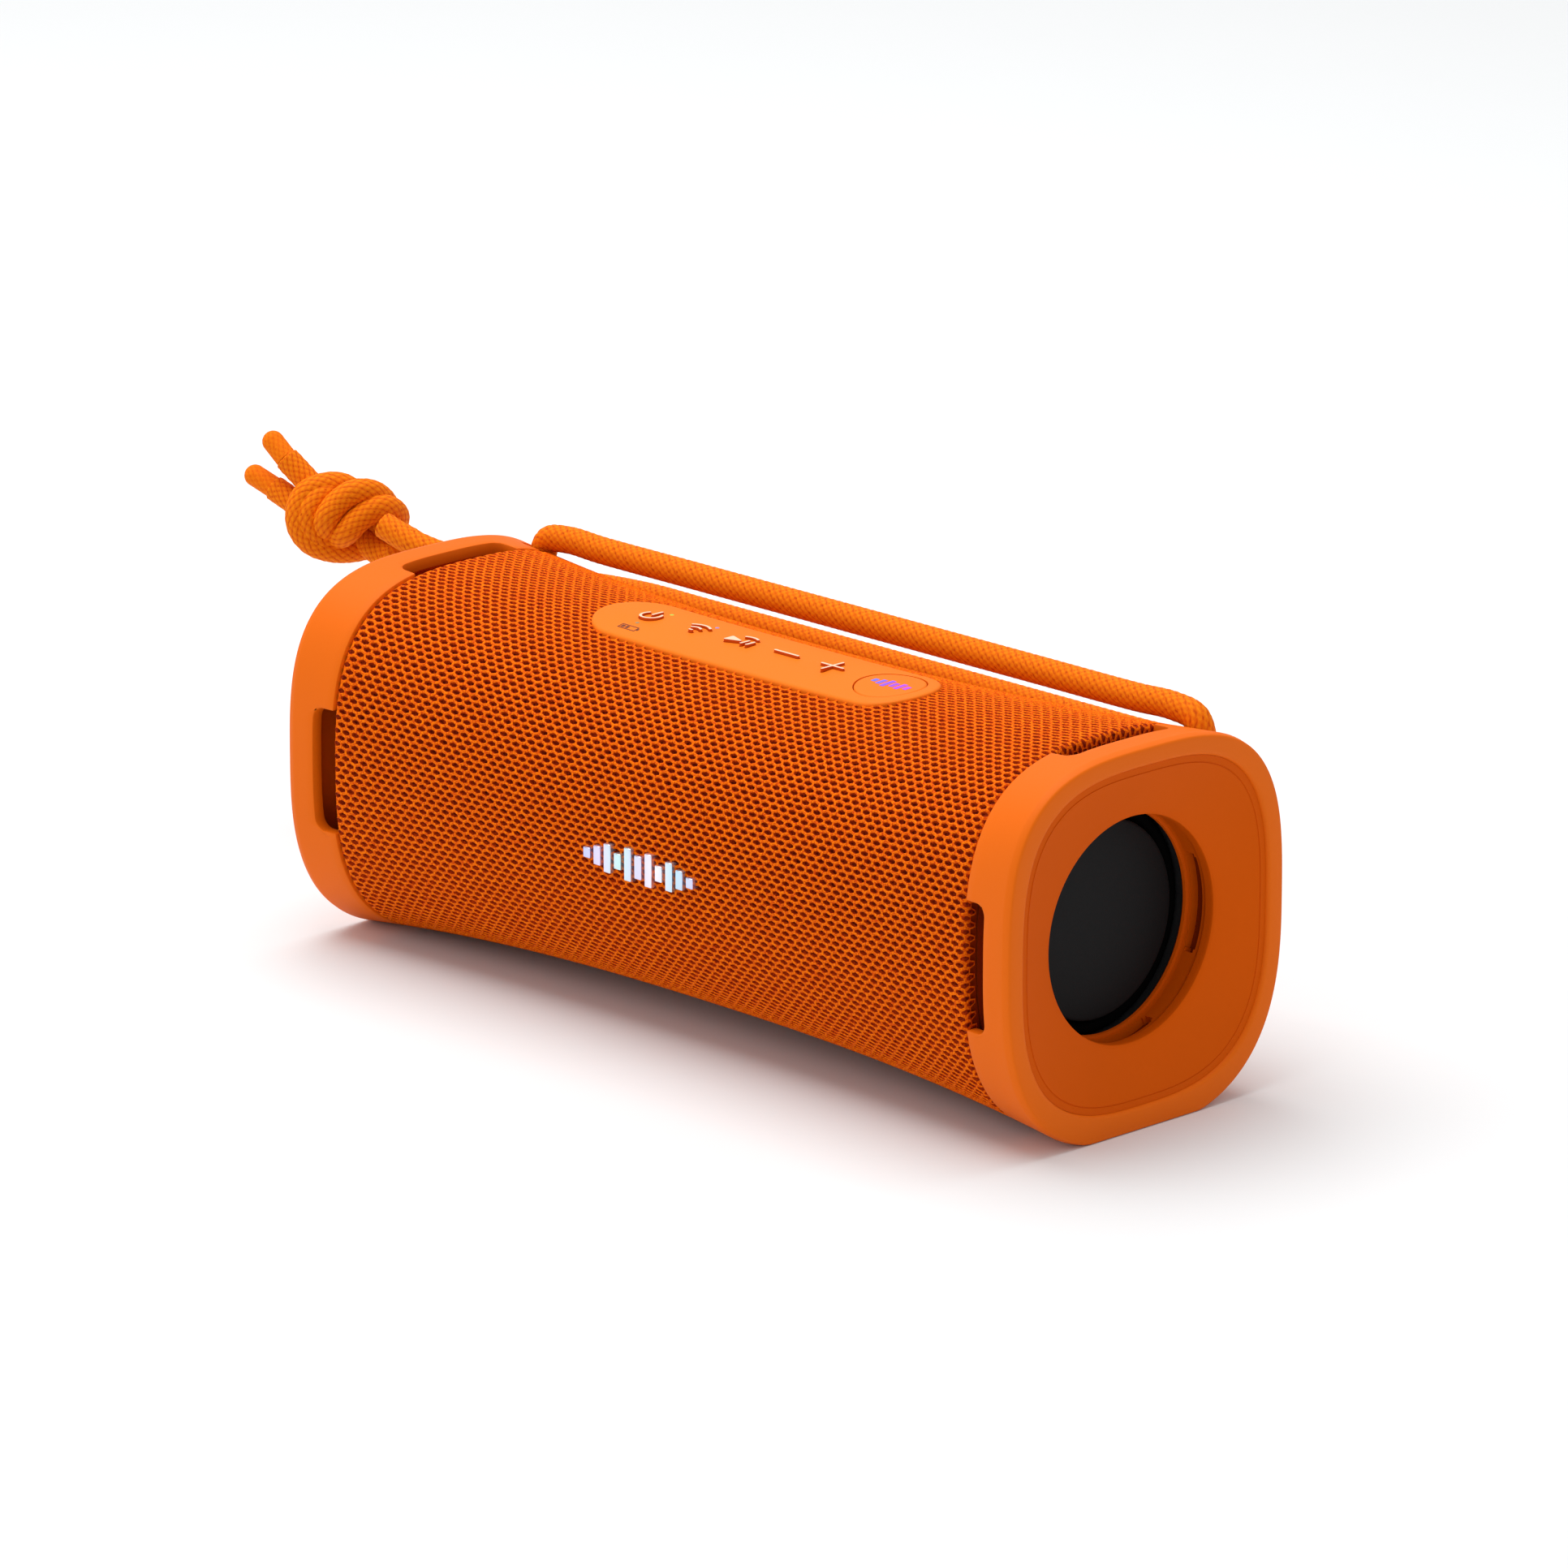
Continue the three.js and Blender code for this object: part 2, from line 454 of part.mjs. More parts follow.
// ---- Control panel and keys ----
function buildControls() {
  const xs = [-48, 0, 48];
  const slab = skinLoft(xs, -PAD.proud, 48).subtract(skinLoft([-49, 0, 49], PAD.under, 48));
  const outline = prism(padOutline(0), 60, 90);
  const cuts = KEYS.map(({ name, x }) => strokesSolid(SYMBOLS[name], x, KEY_Y, KEY.stroke + GAP, 60, 90));
  const soundHoleRadius = SOUND_KEY.radius + GAP;
  const soundHole = rod("z", [SOUND_KEY.x, SOUND_KEY.y, 60], 30, soundHoleRadius, soundHoleRadius, 24);
  for (const { x, y } of LIGHTS) {
    cuts.push(rod("z", [x, y, 60], 30, LIGHT_RADIUS + GAP, LIGHT_RADIUS + GAP, 8));
  }
  part("control_panel", slab.intersect(outline).subtract(join(soundHole, ...cuts)), PAD_RUBBER);

  for (const { name, x, base } of KEYS) {
    const disc = rod("z", [x, KEY_Y, KEY.baseBottom], KEY.baseTop - KEY.baseBottom, base, base, 20);
    const raised = strokesSolid(SYMBOLS[name], x, KEY_Y, KEY.stroke, KEY.baseTop - 0.2, KEY.top);
    part(name + "_key", disc.add(raised), KEY_RUBBER);
  }
  const cap = rod("z", [SOUND_KEY.x, SOUND_KEY.y, KEY.baseBottom], 10, SOUND_KEY.radius, SOUND_KEY.radius, 24);
  part("sound_key", cap.intersect(skinLoft(xs, -PAD.proud, 48)), PAD_RUBBER);

  for (const { name, x, y } of LIGHTS) {
    const pipe = rod("z", [x, y, BOARD.top + GAP], 10, LIGHT_RADIUS, LIGHT_RADIUS, 8);
    part(name, pipe.intersect(skinLoft(xs, -PAD.proud, 48)), LIGHT_PIPE);
  }

  const boardShape = stadium(PAD.centreX - 1, PAD.halfWidth - 2.2, 0, PAD.y);
  const board = prism(boardShape, BOARD.top - BOARD.thick, BOARD.top);
  const switches = [...KEYS.map(({ x }) => [x, KEY_Y]), [SOUND_KEY.x, SOUND_KEY.y]].map(([x, y]) =>
    box(x - 1.6, x + 1.6, y - 1.6, y + 1.6, BOARD.top - 0.1, BOARD.top + BOARD.switchHeight));
  part("key_board", join(board, ...switches), BOARD_GREEN);

  const trayBottom = BOARD.top - BOARD.thick - TRAY.floor - TRAY.drop;
  const trayOuter = prism(padOutline(0), trayBottom, TRAY.top);
  const trayInner = prism(padOutline(TRAY.wall), trayBottom + TRAY.floor, 80);
  part("control_tray", trayOuter.subtract(trayInner), BLACK_PLASTIC);
}

// ---- Drivers ----
function buildDrivers() {
  const { x, z, halfLength, radius, frontY } = WOOFER;
  const oval = (inset) => stadium(halfLength, radius - inset, x, z);
  const flange = prismY(oval(0), frontY, frontY + 3).subtract(prismY(oval(4.2), frontY - 1, frontY + 4));
  const basket = prismY(oval(1.5), frontY + 3, frontY + 17).subtract(prismY(oval(3.8), frontY, frontY + 15.2));
  const basketHole = rod("y", [x, frontY, z], 30, 14, 14, 24);
  part("woofer_frame", flange.add(basket).subtract(basketHole), STEEL);
  const surround = prismY(oval(4.6), frontY + 0.8, frontY + 2).subtract(prismY(oval(8.4), frontY, frontY + 4));
  part("woofer_surround", surround, BLACK_RUBBER);
  const coneDepth = 9;
  const cone = prismY(oval(8.8), frontY + 0.8, frontY + 1.8)
    .subtract(rod("y", [x, frontY, z], 5, 10, 10, 24))
    .add(rod("y", [x, frontY + 1.4, z], coneDepth, 10.6, 6.4, 24)
      .subtract(rod("y", [x, frontY + 1.3, z], coneDepth - 0.8, 9.8, 5.9, 24)))
    .add(rod("y", [x, frontY + 1.4 + coneDepth - 0.4, z], 8, 6.2, 6.2, 24));
  part("woofer_cone", cone, BLACK_PLASTIC);
  const magnet = rod("y", [x, frontY + 17.3, z], 13, 17, 17, 24)
    .subtract(rod("y", [x, frontY + 17, z], 9, 7.4, 7.4, 24));
  part("woofer_magnet", magnet, STEEL);

  const tweeterBody = rod("y", [TWEETER.x, TWEETER.frontY, TWEETER.z], 10, TWEETER.radius, TWEETER.radius, 24)
    .subtract(rod("y", [TWEETER.x, TWEETER.frontY - 1, TWEETER.z], 5, 8.3, 8.3, 24));
  part("tweeter_housing", tweeterBody, BLACK_PLASTIC);
  const dome = toSolid(
    new THREE.SphereGeometry(7.6, 20, 10).scale(1, 0.4, 1)
      .translate(TWEETER.x, TWEETER.frontY + 3.9, TWEETER.z));
  const domeCut = box(TWEETER.x - 9, TWEETER.x + 9, TWEETER.frontY - 5, TWEETER.frontY + 3.6, 20, 60);
  part("tweeter_dome", dome.intersect(domeCut), BADGE_METAL);
}

// ---- Power and electronics ----
function buildElectronics() {
  const cells = { lower: CELL.lowZ, upper: CELL.highZ };
  for (const [name, z] of Object.entries(cells)) {
    const can = rod("x", [CELL.x, CELL.y, z], CELL.length, CELL.radius, CELL.radius, 20);
    const button = rod("x", [CELL.x + CELL.length - 0.1, CELL.y, z], 1, 3, 3, 12);
    part("battery_cell_" + name, can.add(button), CELL_WRAP);
  }
  const [cellStart, cellEnd] = [CELL.x - 1.2, CELL.x + CELL.length + 2];
  const cradle = join(
    box(cellStart - 1.5, cellEnd + 1.5, 25, 26.6, 24, 45),
    box(cellStart - 1.5, cellStart, 8, 25.1, 24, 45),
    box(cellEnd, cellEnd + 1.5, 8, 25.1, 24, 45),
  );
  part("battery_cradle", cradle, BLACK_PLASTIC);

  const { x0, x1, z0, z1, rearY, thick } = MAIN_BOARD;
  const board = box(x0, x1, rearY - thick, rearY, z0, z1);
  const amplifier = box(x0 + 6, x0 + 14, rearY - thick - 2, rearY - thick + 0.1, z1 - 22, z1 - 14);
  const radio = box(x1 - 18, x1 - 10, rearY - thick - 1.6, rearY - thick + 0.1, z1 - 18, z1 - 6);
  part("main_board", join(board, amplifier, radio), BOARD_GREEN);

  const { x, z, halfWidth, rim, faceY, flapThick, corner } = PORT;
  const socketShape = stadium(2.9, 1.6, x, z);
  const socket = prismY(socketShape, rearY + GAP, faceY - 4.2, 4)
    .subtract(prismY(stadium(2.6, 1.2, x, z), rearY + 2, faceY, 4));
  part("charging_socket", socket, STEEL);
  const bezelOuter = prismY(portOutline(0, corner), faceY - 5, faceY, 4);
  const pocket = prismY(portOutline(rim, corner - 1), faceY - flapThick - GAP, faceY + 1, 4);
  const passage = prismY(stadium(3.2, 1.9, x, z), faceY - 8, faceY + 1, 4);
  part("port_bezel", bezelOuter.subtract(join(pocket, passage)), BUMPER);
  const flap = prismY(portOutline(rim + GAP, corner - 1.2), faceY - flapThick, faceY, 4);
  const flapEnd = x + halfWidth - rim - GAP;
  const pull = box(flapEnd - 2.2, flapEnd - 0.8, faceY - 0.1, faceY + 0.7, z - 2.5, z + 2.5);
  part("port_cover", flap.add(pull), BUMPER);
}

function buildBadge() {
  const { x, z, halfWidth, halfHeight, faceY, barHalf } = BADGE;
  const plate = box(x - halfWidth, x + halfWidth, faceY + 0.9, faceY + 1.9, z - halfHeight, z + halfHeight);
  const reachX = halfWidth - barHalf - 0.15;
  const bars = BADGE_BARS.map((half, index) => {
    const centre = x - reachX + (2 * reachX * index) / (BADGE_BARS.length - 1);
    return box(centre - barHalf, centre + barHalf, faceY, faceY + 1, z - half, z + half);
  });
  part("front_badge", join(plate, ...bars), BADGE_METAL);
}

// ---- Strap ----
function cord(points, radius, steps, sides = 8) {
  const path = new THREE.CatmullRomCurve3(points.map((p) => new THREE.Vector3(...p)), false, "centripetal");
  const section = new THREE.Shape();
  for (let i = 0; i < sides; i += 1) {
    const angle = (2 * Math.PI * i) / sides;
    const corner = [radius * Math.cos(angle), radius * Math.sin(angle)];
    if (i === 0) section.moveTo(...corner);
    else section.lineTo(...corner);
  }
  return toSolid(new THREE.ExtrudeGeometry(section, { steps, extrudePath: path, bevelEnabled: false }));
}

function buildStrap() {
  part("strap_cord", cord(STRAP_PATH, STRAP_RADIUS, STRAP_STEPS), CORD);
  const ball = new THREE.SphereGeometry(1, 14, 9).scale(...KNOT.half).translate(...KNOT.centre);
  part("strap_knot", toSolid(ball), CORD);
  for (const [name, { from, to, tip }] of Object.entries(TAILS)) {
    part("strap_tail_" + name, cord([from, to], STRAP_RADIUS, 1), CORD);
    const start = new THREE.Vector3(...to);
    const along = new THREE.Vector3(...tip).sub(start).normalize();
    const tipStart = start.addScaledVector(along, GAP).toArray();
    part("strap_tip_" + name, cord([tipStart, tip], STRAP_RADIUS * 0.85, 1, 10), BUMPER);
  }
}

buildSleeve();
buildCabinet();
buildEnd();
buildControls();
buildDrivers();
buildElectronics();
buildBadge();
buildStrap();

export default speaker;
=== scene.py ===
import math

import bmesh
import bpy
import numpy as np
from mathutils import Matrix, Vector


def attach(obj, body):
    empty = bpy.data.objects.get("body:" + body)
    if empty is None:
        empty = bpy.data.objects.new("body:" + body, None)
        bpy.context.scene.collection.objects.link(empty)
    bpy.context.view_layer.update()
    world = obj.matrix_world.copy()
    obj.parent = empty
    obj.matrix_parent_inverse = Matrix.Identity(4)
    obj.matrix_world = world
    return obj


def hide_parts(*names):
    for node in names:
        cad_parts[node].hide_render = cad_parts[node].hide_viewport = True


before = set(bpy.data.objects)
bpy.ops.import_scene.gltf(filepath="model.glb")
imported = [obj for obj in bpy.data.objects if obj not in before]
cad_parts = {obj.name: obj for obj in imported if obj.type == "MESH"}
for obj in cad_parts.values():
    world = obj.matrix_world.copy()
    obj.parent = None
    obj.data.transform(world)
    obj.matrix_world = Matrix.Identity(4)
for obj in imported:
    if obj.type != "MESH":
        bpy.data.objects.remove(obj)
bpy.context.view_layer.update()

# Pieces are shaped in millimetres, in the part's frame, and brought to metres when they are finished.
MM = 0.001

# ---- Driving dimensions, as in the part's source ----
AXIS_Z = 38.45  # height of the body's long axis
WAIST = {"width": 35.4, "up": 36.8, "down": 35.3, "sharp_up": 2.2, "sharp_down": 2.5}
RIM = {"width": 38.24, "up": 38.5, "down": 40.2, "sharp_up": 3.17, "sharp_down": 2.69}
RIM_X = 102
SWELL = 2.43
OPENING = {"width": 33.7, "up": 34.1, "down": 34.1, "sharp_up": 3.1, "sharp_down": 2.9}
OPENING_Z = AXIS_Z + 0.3
THROAT_Z = 39.1
THROAT_RIM = 22.8
PAD_Y = -2.8
PAD_HALF = 10
PAD_CENTRE_X = 35.4
PAD_PROUD = 0.5
STRAP_RADIUS = 2.8
KNOT_RADIUS = 2.75
TAIL_RADIUS = 2.7
TIP_RADIUS = 2.35
RELIEF = 0.16  # of the braid
TIP_RELIEF = 0.05  # the tips are woven finer
STRAP_PATH = [
    (-151, 33.4, 59.5), (-143, 36, 56), (-133, 39, 54.2), (-121, 42, 53.3), (-110, 44, 53.2),
    (-102, 44.3, 54.2), (-96.6, 42.8, 55.8), (-94, 38, 56.4), (-93.9, 30.6, 57.6), (-93.9, 26, 61.4),
    (-93.9, 24.3, 67), (-93.7, 24.3, 71.8), (-91.9, 24.3, 75.3), (-86, 24.4, 76.4), (-76, 24.4, 76.15),
    (-50, 24.4, 76.15), (0, 24.4, 76.15), (50, 24.4, 76.15), (76, 24.4, 76.15), (86, 24.4, 76.4),
    (91.9, 24.3, 75.3), (93.7, 24.3, 71.8), (93.9, 24.3, 67), (93.9, 26, 61.4), (93.9, 30.6, 57.6),
    (93.8, 36.4, 57), (91.4, 40.6, 58.6), (86.5, 40.6, 61.6), (79, 38.8, 63.4), (60, 38, 63.7), (20, 38, 63.7),
    (-20, 38, 63.7), (-60, 38, 63.7), (-76, 38.8, 63.4), (-90, 40.2, 62.2), (-104, 40.3, 60.9),
    (-118, 38.8, 60.3), (-132, 36, 60.8), (-143, 33.2, 62.9), (-151, 31.6, 65.7),
]
KNOT_CENTRE = Vector((-163.6, 31, 65.6))

VIEW_AZIMUTH = math.radians(45.92)
VIEW_ELEVATION = math.radians(16.70)
TOWARDS = Vector((
    math.sin(VIEW_AZIMUTH) * math.cos(VIEW_ELEVATION),
    -math.cos(VIEW_AZIMUTH) * math.cos(VIEW_ELEVATION),
    math.sin(VIEW_ELEVATION),
))
ACROSS = Vector((math.cos(VIEW_AZIMUTH), math.sin(VIEW_AZIMUTH), 0))
UPWARDS = TOWARDS.cross(ACROSS)


# ---- Camera, floor and light ----
def place_camera():
    data = bpy.data.cameras.new("view")
    data.sensor_width = 36
    data.lens = 228.78
    data.shift_x = 0.00606
    data.shift_y = 0.02732
    data.clip_end = 50
    camera = bpy.data.objects.new("view", data)
    bpy.context.scene.collection.objects.link(camera)
    camera.location = Vector((0, 0, 0.0385)) + TOWARDS * 1.98308
    camera.rotation_euler = TOWARDS.to_track_quat("Z", "Y").to_euler()
    bpy.context.scene.camera = camera


def softbox(name, place, target, size, power):
    data = bpy.data.lights.new(name, "AREA")
    data.shape = "SQUARE"
    data.size = size
    data.energy = power
    light = bpy.data.objects.new(name, data)
    bpy.context.scene.collection.objects.link(light)
    light.location = place
    light.rotation_euler = (Vector(place) - Vector(target)).to_track_quat("Z", "Y").to_euler()


place_camera()


# ---- Cord: a tube with a braided surface ----
def through(points):
    """The centripetal Catmull-Rom curve through the points, as many short steps."""
    knots = [Vector(p) for p in points]
    knots = [2 * knots[0] - knots[1]] + knots + [2 * knots[-1] - knots[-2]]
    line = []
    for i in range(1, len(knots) - 2):
        p = knots[i - 1:i + 3]
        t = [0.0]
        for a, b in zip(p, p[1:]):
            t.append(t[-1] + math.sqrt((b - a).length))
        for k in range(16):
            s = t[1] + (t[2] - t[1]) * k / 16
            a = [p[j] + (p[j + 1] - p[j]) * ((s - t[j]) / (t[j + 1] - t[j])) for j in range(3)]
            b = [a[j] + (a[j + 1] - a[j]) * ((s - t[j]) / (t[j + 2] - t[j])) for j in range(2)]
            line.append(b[0] + (b[1] - b[0]) * ((s - t[1]) / (t[2] - t[1])))
    line.append(knots[-2])
    return line


def evenly(line, step):
    """Points at even distances along a line."""
    gaps = [(b - a).length for a, b in zip(line, line[1:])]
    total = sum(gaps)
    count = max(2, round(total / step))
    distances = np.concatenate([[0], np.cumsum(gaps)])
    wanted = np.linspace(0, total, count + 1)
    xyz = np.array([list(p) for p in line])
    return [Vector(p) for p in zip(*(np.interp(wanted, distances, xyz[:, k]) for k in range(3)))], total


BRAID_LENGTH = 1.9  # of a lozenge, along the cord
CARRIERS = 12


def braid_height(u, v):
    """Height of the weave, 0 to 1, where two families of strands cross over and under each other."""
    a, b = u + v, u - v
    fa, fb = math.sin(math.pi * (a % 1)), math.sin(math.pi * (b % 1))
    if (math.floor(a) + math.floor(b)) % 2:
        fa, fb = fb, fa
    return fa ** 0.55 * (0.5 + 0.5 * fb)


def braided_tube(name, points, radius, relief, start_round=0.0, end_round=0.0, around=40, step=0.5):
    line, total = evenly(through(points), step)
    tangent = (line[1] - line[0]).normalized()
    side = tangent.orthogonal().normalized()
    rings, weave = [], []
    for i, place in enumerate(line):
        ahead = (line[min(i + 1, len(line) - 1)] - line[max(i - 1, 0)]).normalized()
        side = (tangent.rotation_difference(ahead) @ side).normalized()
        tangent = ahead
        other = tangent.cross(side)
        s = total * i / (len(line) - 1)
        shrink = 1.0
        for distance, end in ((s, start_round), (total - s, end_round)):
            if distance < end:
                shrink *= math.sqrt(max(0.02, 1 - (1 - distance / end) ** 2))
        ring = []
        for k in range(around):
            angle = 2 * math.pi * k / around
            height = braid_height(s / BRAID_LENGTH, CARRIERS * k / around)
            reach = (radius + relief * (height - 0.6)) * shrink
            ring.append(place + (side * math.cos(angle) + other * math.sin(angle)) * reach)
            weave.append(height)
        rings.append(ring)
    vertices = [v * MM for ring in rings for v in ring]
    faces = []
    for i in range(len(rings) - 1):
        for k in range(around):
            n = (k + 1) % around
            faces.append((i * around + k, i * around + n, (i + 1) * around + n, (i + 1) * around + k))
    faces.append(tuple(reversed(range(around))))
    faces.append(tuple(range((len(rings) - 1) * around, len(rings) * around)))
    mesh = bpy.data.meshes.new(name)
    mesh.from_pydata(vertices, [], faces)
    mesh.attributes.new("weave", "FLOAT", "POINT").data.foreach_set("value", weave)
    mesh.polygons.foreach_set("use_smooth", [True] * (len(faces) - 2) + [False] * 2)
    tube = bpy.data.objects.new(name, mesh)
    bpy.context.scene.collection.objects.link(tube)
    return tube, line


# The knot's strands, in millimetres across, up and towards the usual view from the knot's centre.
KNOT_STRANDS = {
    "outer": [
        (16, -6.2, 3), (12.5, -4.2, 1.5), (9, -2.4, -1), (5, 0.8, -2.4), (2.2, 5, -2), (-0.6, 6.4, -0.6),
        (-4, 6.2, 0.4), (-7.4, 4.6, 1), (-9.1, 1.2, 1.2), (-8.8, -2.6, 1), (-6.4, -5.7, 0.4), (-2.2, -7.2, -0.6),
        (2.6, -7.1, -2.6), (6.7, -5.7, -5.2), (10.2, -2.6, -5.6), (11.5, -0.4, -2.6), (10.4, 1.2, 1),
        (7.7, 1.5, 3.6), (3.9, -0.9, 4.6), (1.2, -3.6, 4), (-0.6, -4.4, 1.2), (-2.6, -4, -2.6), (-5.4, -0.5, -4.6),
        (-9.8, 2.7, -5.4),
    ],
    "inner": [
        (12, -10.4, 3), (7.7, -7.8, 0), (4.3, -5, -2), (0.8, -0.6, -3.2), (-0.9, 3.6, -2), (-2.3, 5, 0),
        (-5, 3.7, 1.4), (-6.9, 0.8, 2), (-6.7, -2.3, 1.6), (-4.7, -4.8, 0.6), (-1.2, -5.7, -1.2), (2.9, -5.4, -5),
        (7, -2.6, -7.4), (9, 0.8, -5.6), (8.6, 3.2, -1), (6, 4.8, 2.6), (2.5, 4.6, 4.4), (-0.9, 2.2, 4.6),
        (-3, -0.9, 4.2), (-3.3, -2.8, 1.6), (-3.6, -1.6, -2.2), (-5, 2.2, -4), (-6.7, 6.7, -3.2),
    ],
}
TAIL_ROUTES = {
    "a": {"from": (-5, 4.8, -3.4), "to": (-12.2, 12.5, -4.6), "tip": (-16.2, 17.6, -6.6)},
    "b": {"from": (-8, 1.4, -5.2), "to": (-15, 6.3, -8.6), "tip": (-20.7, 10, -11)},
}


def from_knot(route):
    return [KNOT_CENTRE + ACROSS * a + UPWARDS * u + TOWARDS * t for a, u, t in route]


strap, strap_line = braided_tube("strap_cord_braid", STRAP_PATH, STRAP_RADIUS, RELIEF, step=0.4)
knot_strands = [
    braided_tube("strap_knot_" + key, from_knot(route), KNOT_RADIUS, RELIEF, 1, 2.5, around=48, step=0.3)[0]
    for key, route in KNOT_STRANDS.items()
]
tails = []
tips = []
for key, route in TAIL_ROUTES.items():
    start, shoulder, end = (Vector(route[k]) for k in ("from", "to", "tip"))
    body = [start, start.lerp(shoulder, 0.5), shoulder]
    tip = [shoulder.lerp(end, -0.1), shoulder.lerp(end, 0.4), end]
    tails.append(braided_tube(
        "strap_tail_braid_" + key, from_knot(body), TAIL_RADIUS, RELIEF, 0, 0.5, around=48, step=0.3)[0])
    tips.append(braided_tube(
        "strap_tip_cap_" + key, from_knot(tip), TIP_RADIUS, TIP_RELIEF, 0, TIP_RADIUS, step=0.25)[0])


# ---- Materials ----
def new_material(name):
    material = bpy.data.materials.new(name)
    material.use_nodes = True
    return material, material.node_tree.nodes, material.node_tree.links, material.node_tree.nodes["Principled BSDF"]


def two_colours(nodes, links, factor, dark, light, socket):
    mix = nodes.new("ShaderNodeMix")
    mix.data_type = "RGBA"
    mix.inputs["A"].default_value = (*dark, 1)
    mix.inputs["B"].default_value = (*light, 1)
    links.new(factor, mix.inputs["Factor"])
    links.new(mix.outputs["Result"], socket)


ROUGHNESS_DRIFT = 0.07


def moulded(name, colour, roughness, grain=2600, depth=0.00004, spread=0.07, metallic=0.0, coat=0.0, sheen=0.3):
    """A moulded or machined surface: fine grain in relief, uneven sheen and a slight drift of colour."""
    material, nodes, links, shader = new_material(name)
    place = nodes.new("ShaderNodeTexCoord")
    fine = nodes.new("ShaderNodeTexNoise")
    fine.inputs["Scale"].default_value = grain
    fine.inputs["Detail"].default_value = 3
    broad = nodes.new("ShaderNodeTexNoise")
    broad.inputs["Scale"].default_value = 22
    broad.inputs["Detail"].default_value = 2
    for noise in (fine, broad):
        links.new(place.outputs["Object"], noise.inputs["Vector"])
    dark = [c * (1 - spread) for c in colour]
    light = [min(1, c * (1 + spread)) for c in colour]
    two_colours(nodes, links, broad.outputs["Fac"], dark, light, shader.inputs["Base Color"])
    rough = nodes.new("ShaderNodeMapRange")
    rough.inputs["To Min"].default_value = roughness - ROUGHNESS_DRIFT
    rough.inputs["To Max"].default_value = roughness + ROUGHNESS_DRIFT
    links.new(fine.outputs["Fac"], rough.inputs["Value"])
    links.new(rough.outputs["Result"], shader.inputs["Roughness"])
    relief = nodes.new("ShaderNodeBump")
    relief.inputs["Strength"].default_value = 0.5
    relief.inputs["Distance"].default_value = depth
    links.new(fine.outputs["Fac"], relief.inputs["Height"])
    links.new(relief.outputs["Normal"], shader.inputs["Normal"])
    shader.inputs["Metallic"].default_value = metallic
    shader.inputs["Coat Weight"].default_value = coat
    shader.inputs["Specular IOR Level"].default_value = sheen
    return material


def braid_material(name, painted_gap_shade, strand, painted_crest_highlight):
    material, nodes, links, shader = new_material(name)
    weave = nodes.new("ShaderNodeAttribute")
    weave.attribute_name = "weave"
    # The weave height picks the colour: the low gaps between strands get painted shade, the high crests get a
    # painted highlight, and the strand colour lies between.
    ramp = nodes.new("ShaderNodeValToRGB")
    ramp.color_ramp.elements[0].position = 0.12
    ramp.color_ramp.elements[0].color = (*painted_gap_shade, 1)
    ramp.color_ramp.elements[1].position = 0.95
    ramp.color_ramp.elements[1].color = (*painted_crest_highlight, 1)
    middle = ramp.color_ramp.elements.new(0.5)
    middle.color = (*strand, 1)
    place = nodes.new("ShaderNodeTexCoord")
    fibre = nodes.new("ShaderNodeTexNoise")
    fibre.inputs["Scale"].default_value = 5200
    fibre.inputs["Detail"].default_value = 2
    links.new(place.outputs["Object"], fibre.inputs["Vector"])
    mixed = nodes.new("ShaderNodeMath")
    mixed.operation = "MULTIPLY_ADD"
    mixed.inputs[1].default_value = 0.35
    links.new(fibre.outputs["Fac"], mixed.inputs[0])
    lowered = nodes.new("ShaderNodeMath")
    lowered.operation = "SUBTRACT"
    lowered.inputs[1].default_value = 0.17
    links.new(weave.outputs["Fac"], lowered.inputs[0])
    links.new(lowered.outputs[0], mixed.inputs[2])
    links.new(mixed.outputs[0], ramp.inputs["Fac"])
    links.new(ramp.outputs["Color"], shader.inputs["Base Color"])
    relief = nodes.new("ShaderNodeBump")
    relief.inputs["Strength"].default_value = 0.7
    relief.inputs["Distance"].default_value = 0.00012
    links.new(fibre.outputs["Fac"], relief.inputs["Height"])
    links.new(relief.outputs["Normal"], shader.inputs["Normal"])
    shader.inputs["Roughness"].default_value = 0.7
    shader.inputs["Specular IOR Level"].default_value = 0.08
    return material


def yarn_material(name, dark, light, scale=2600):
    """Twisted polyester yarn: fine streaks of lighter filament over a deeper orange."""
    material, nodes, links, shader = new_material(name)
    place = nodes.new("ShaderNodeTexCoord")
    filament = nodes.new("ShaderNodeTexNoise")
    filament.inputs["Scale"].default_value = scale
    filament.inputs["Detail"].default_value = 3
    links.new(place.outputs["Object"], filament.inputs["Vector"])
    contrast = nodes.new("ShaderNodeMapRange")
    contrast.inputs["From Min"].default_value = 0.35
    contrast.inputs["From Max"].default_value = 0.65
    links.new(filament.outputs["Fac"], contrast.inputs["Value"])
    two_colours(nodes, links, contrast.outputs["Result"], dark, light, shader.inputs["Base Color"])
    relief = nodes.new("ShaderNodeBump")
    relief.inputs["Strength"].default_value = 0.6
    relief.inputs["Distance"].default_value = 0.0001
    links.new(filament.outputs["Fac"], relief.inputs["Height"])
    links.new(relief.outputs["Normal"], shader.inputs["Normal"])
    shader.inputs["Roughness"].default_value = 0.7
    shader.inputs["Specular IOR Level"].default_value = 0.05
    return material


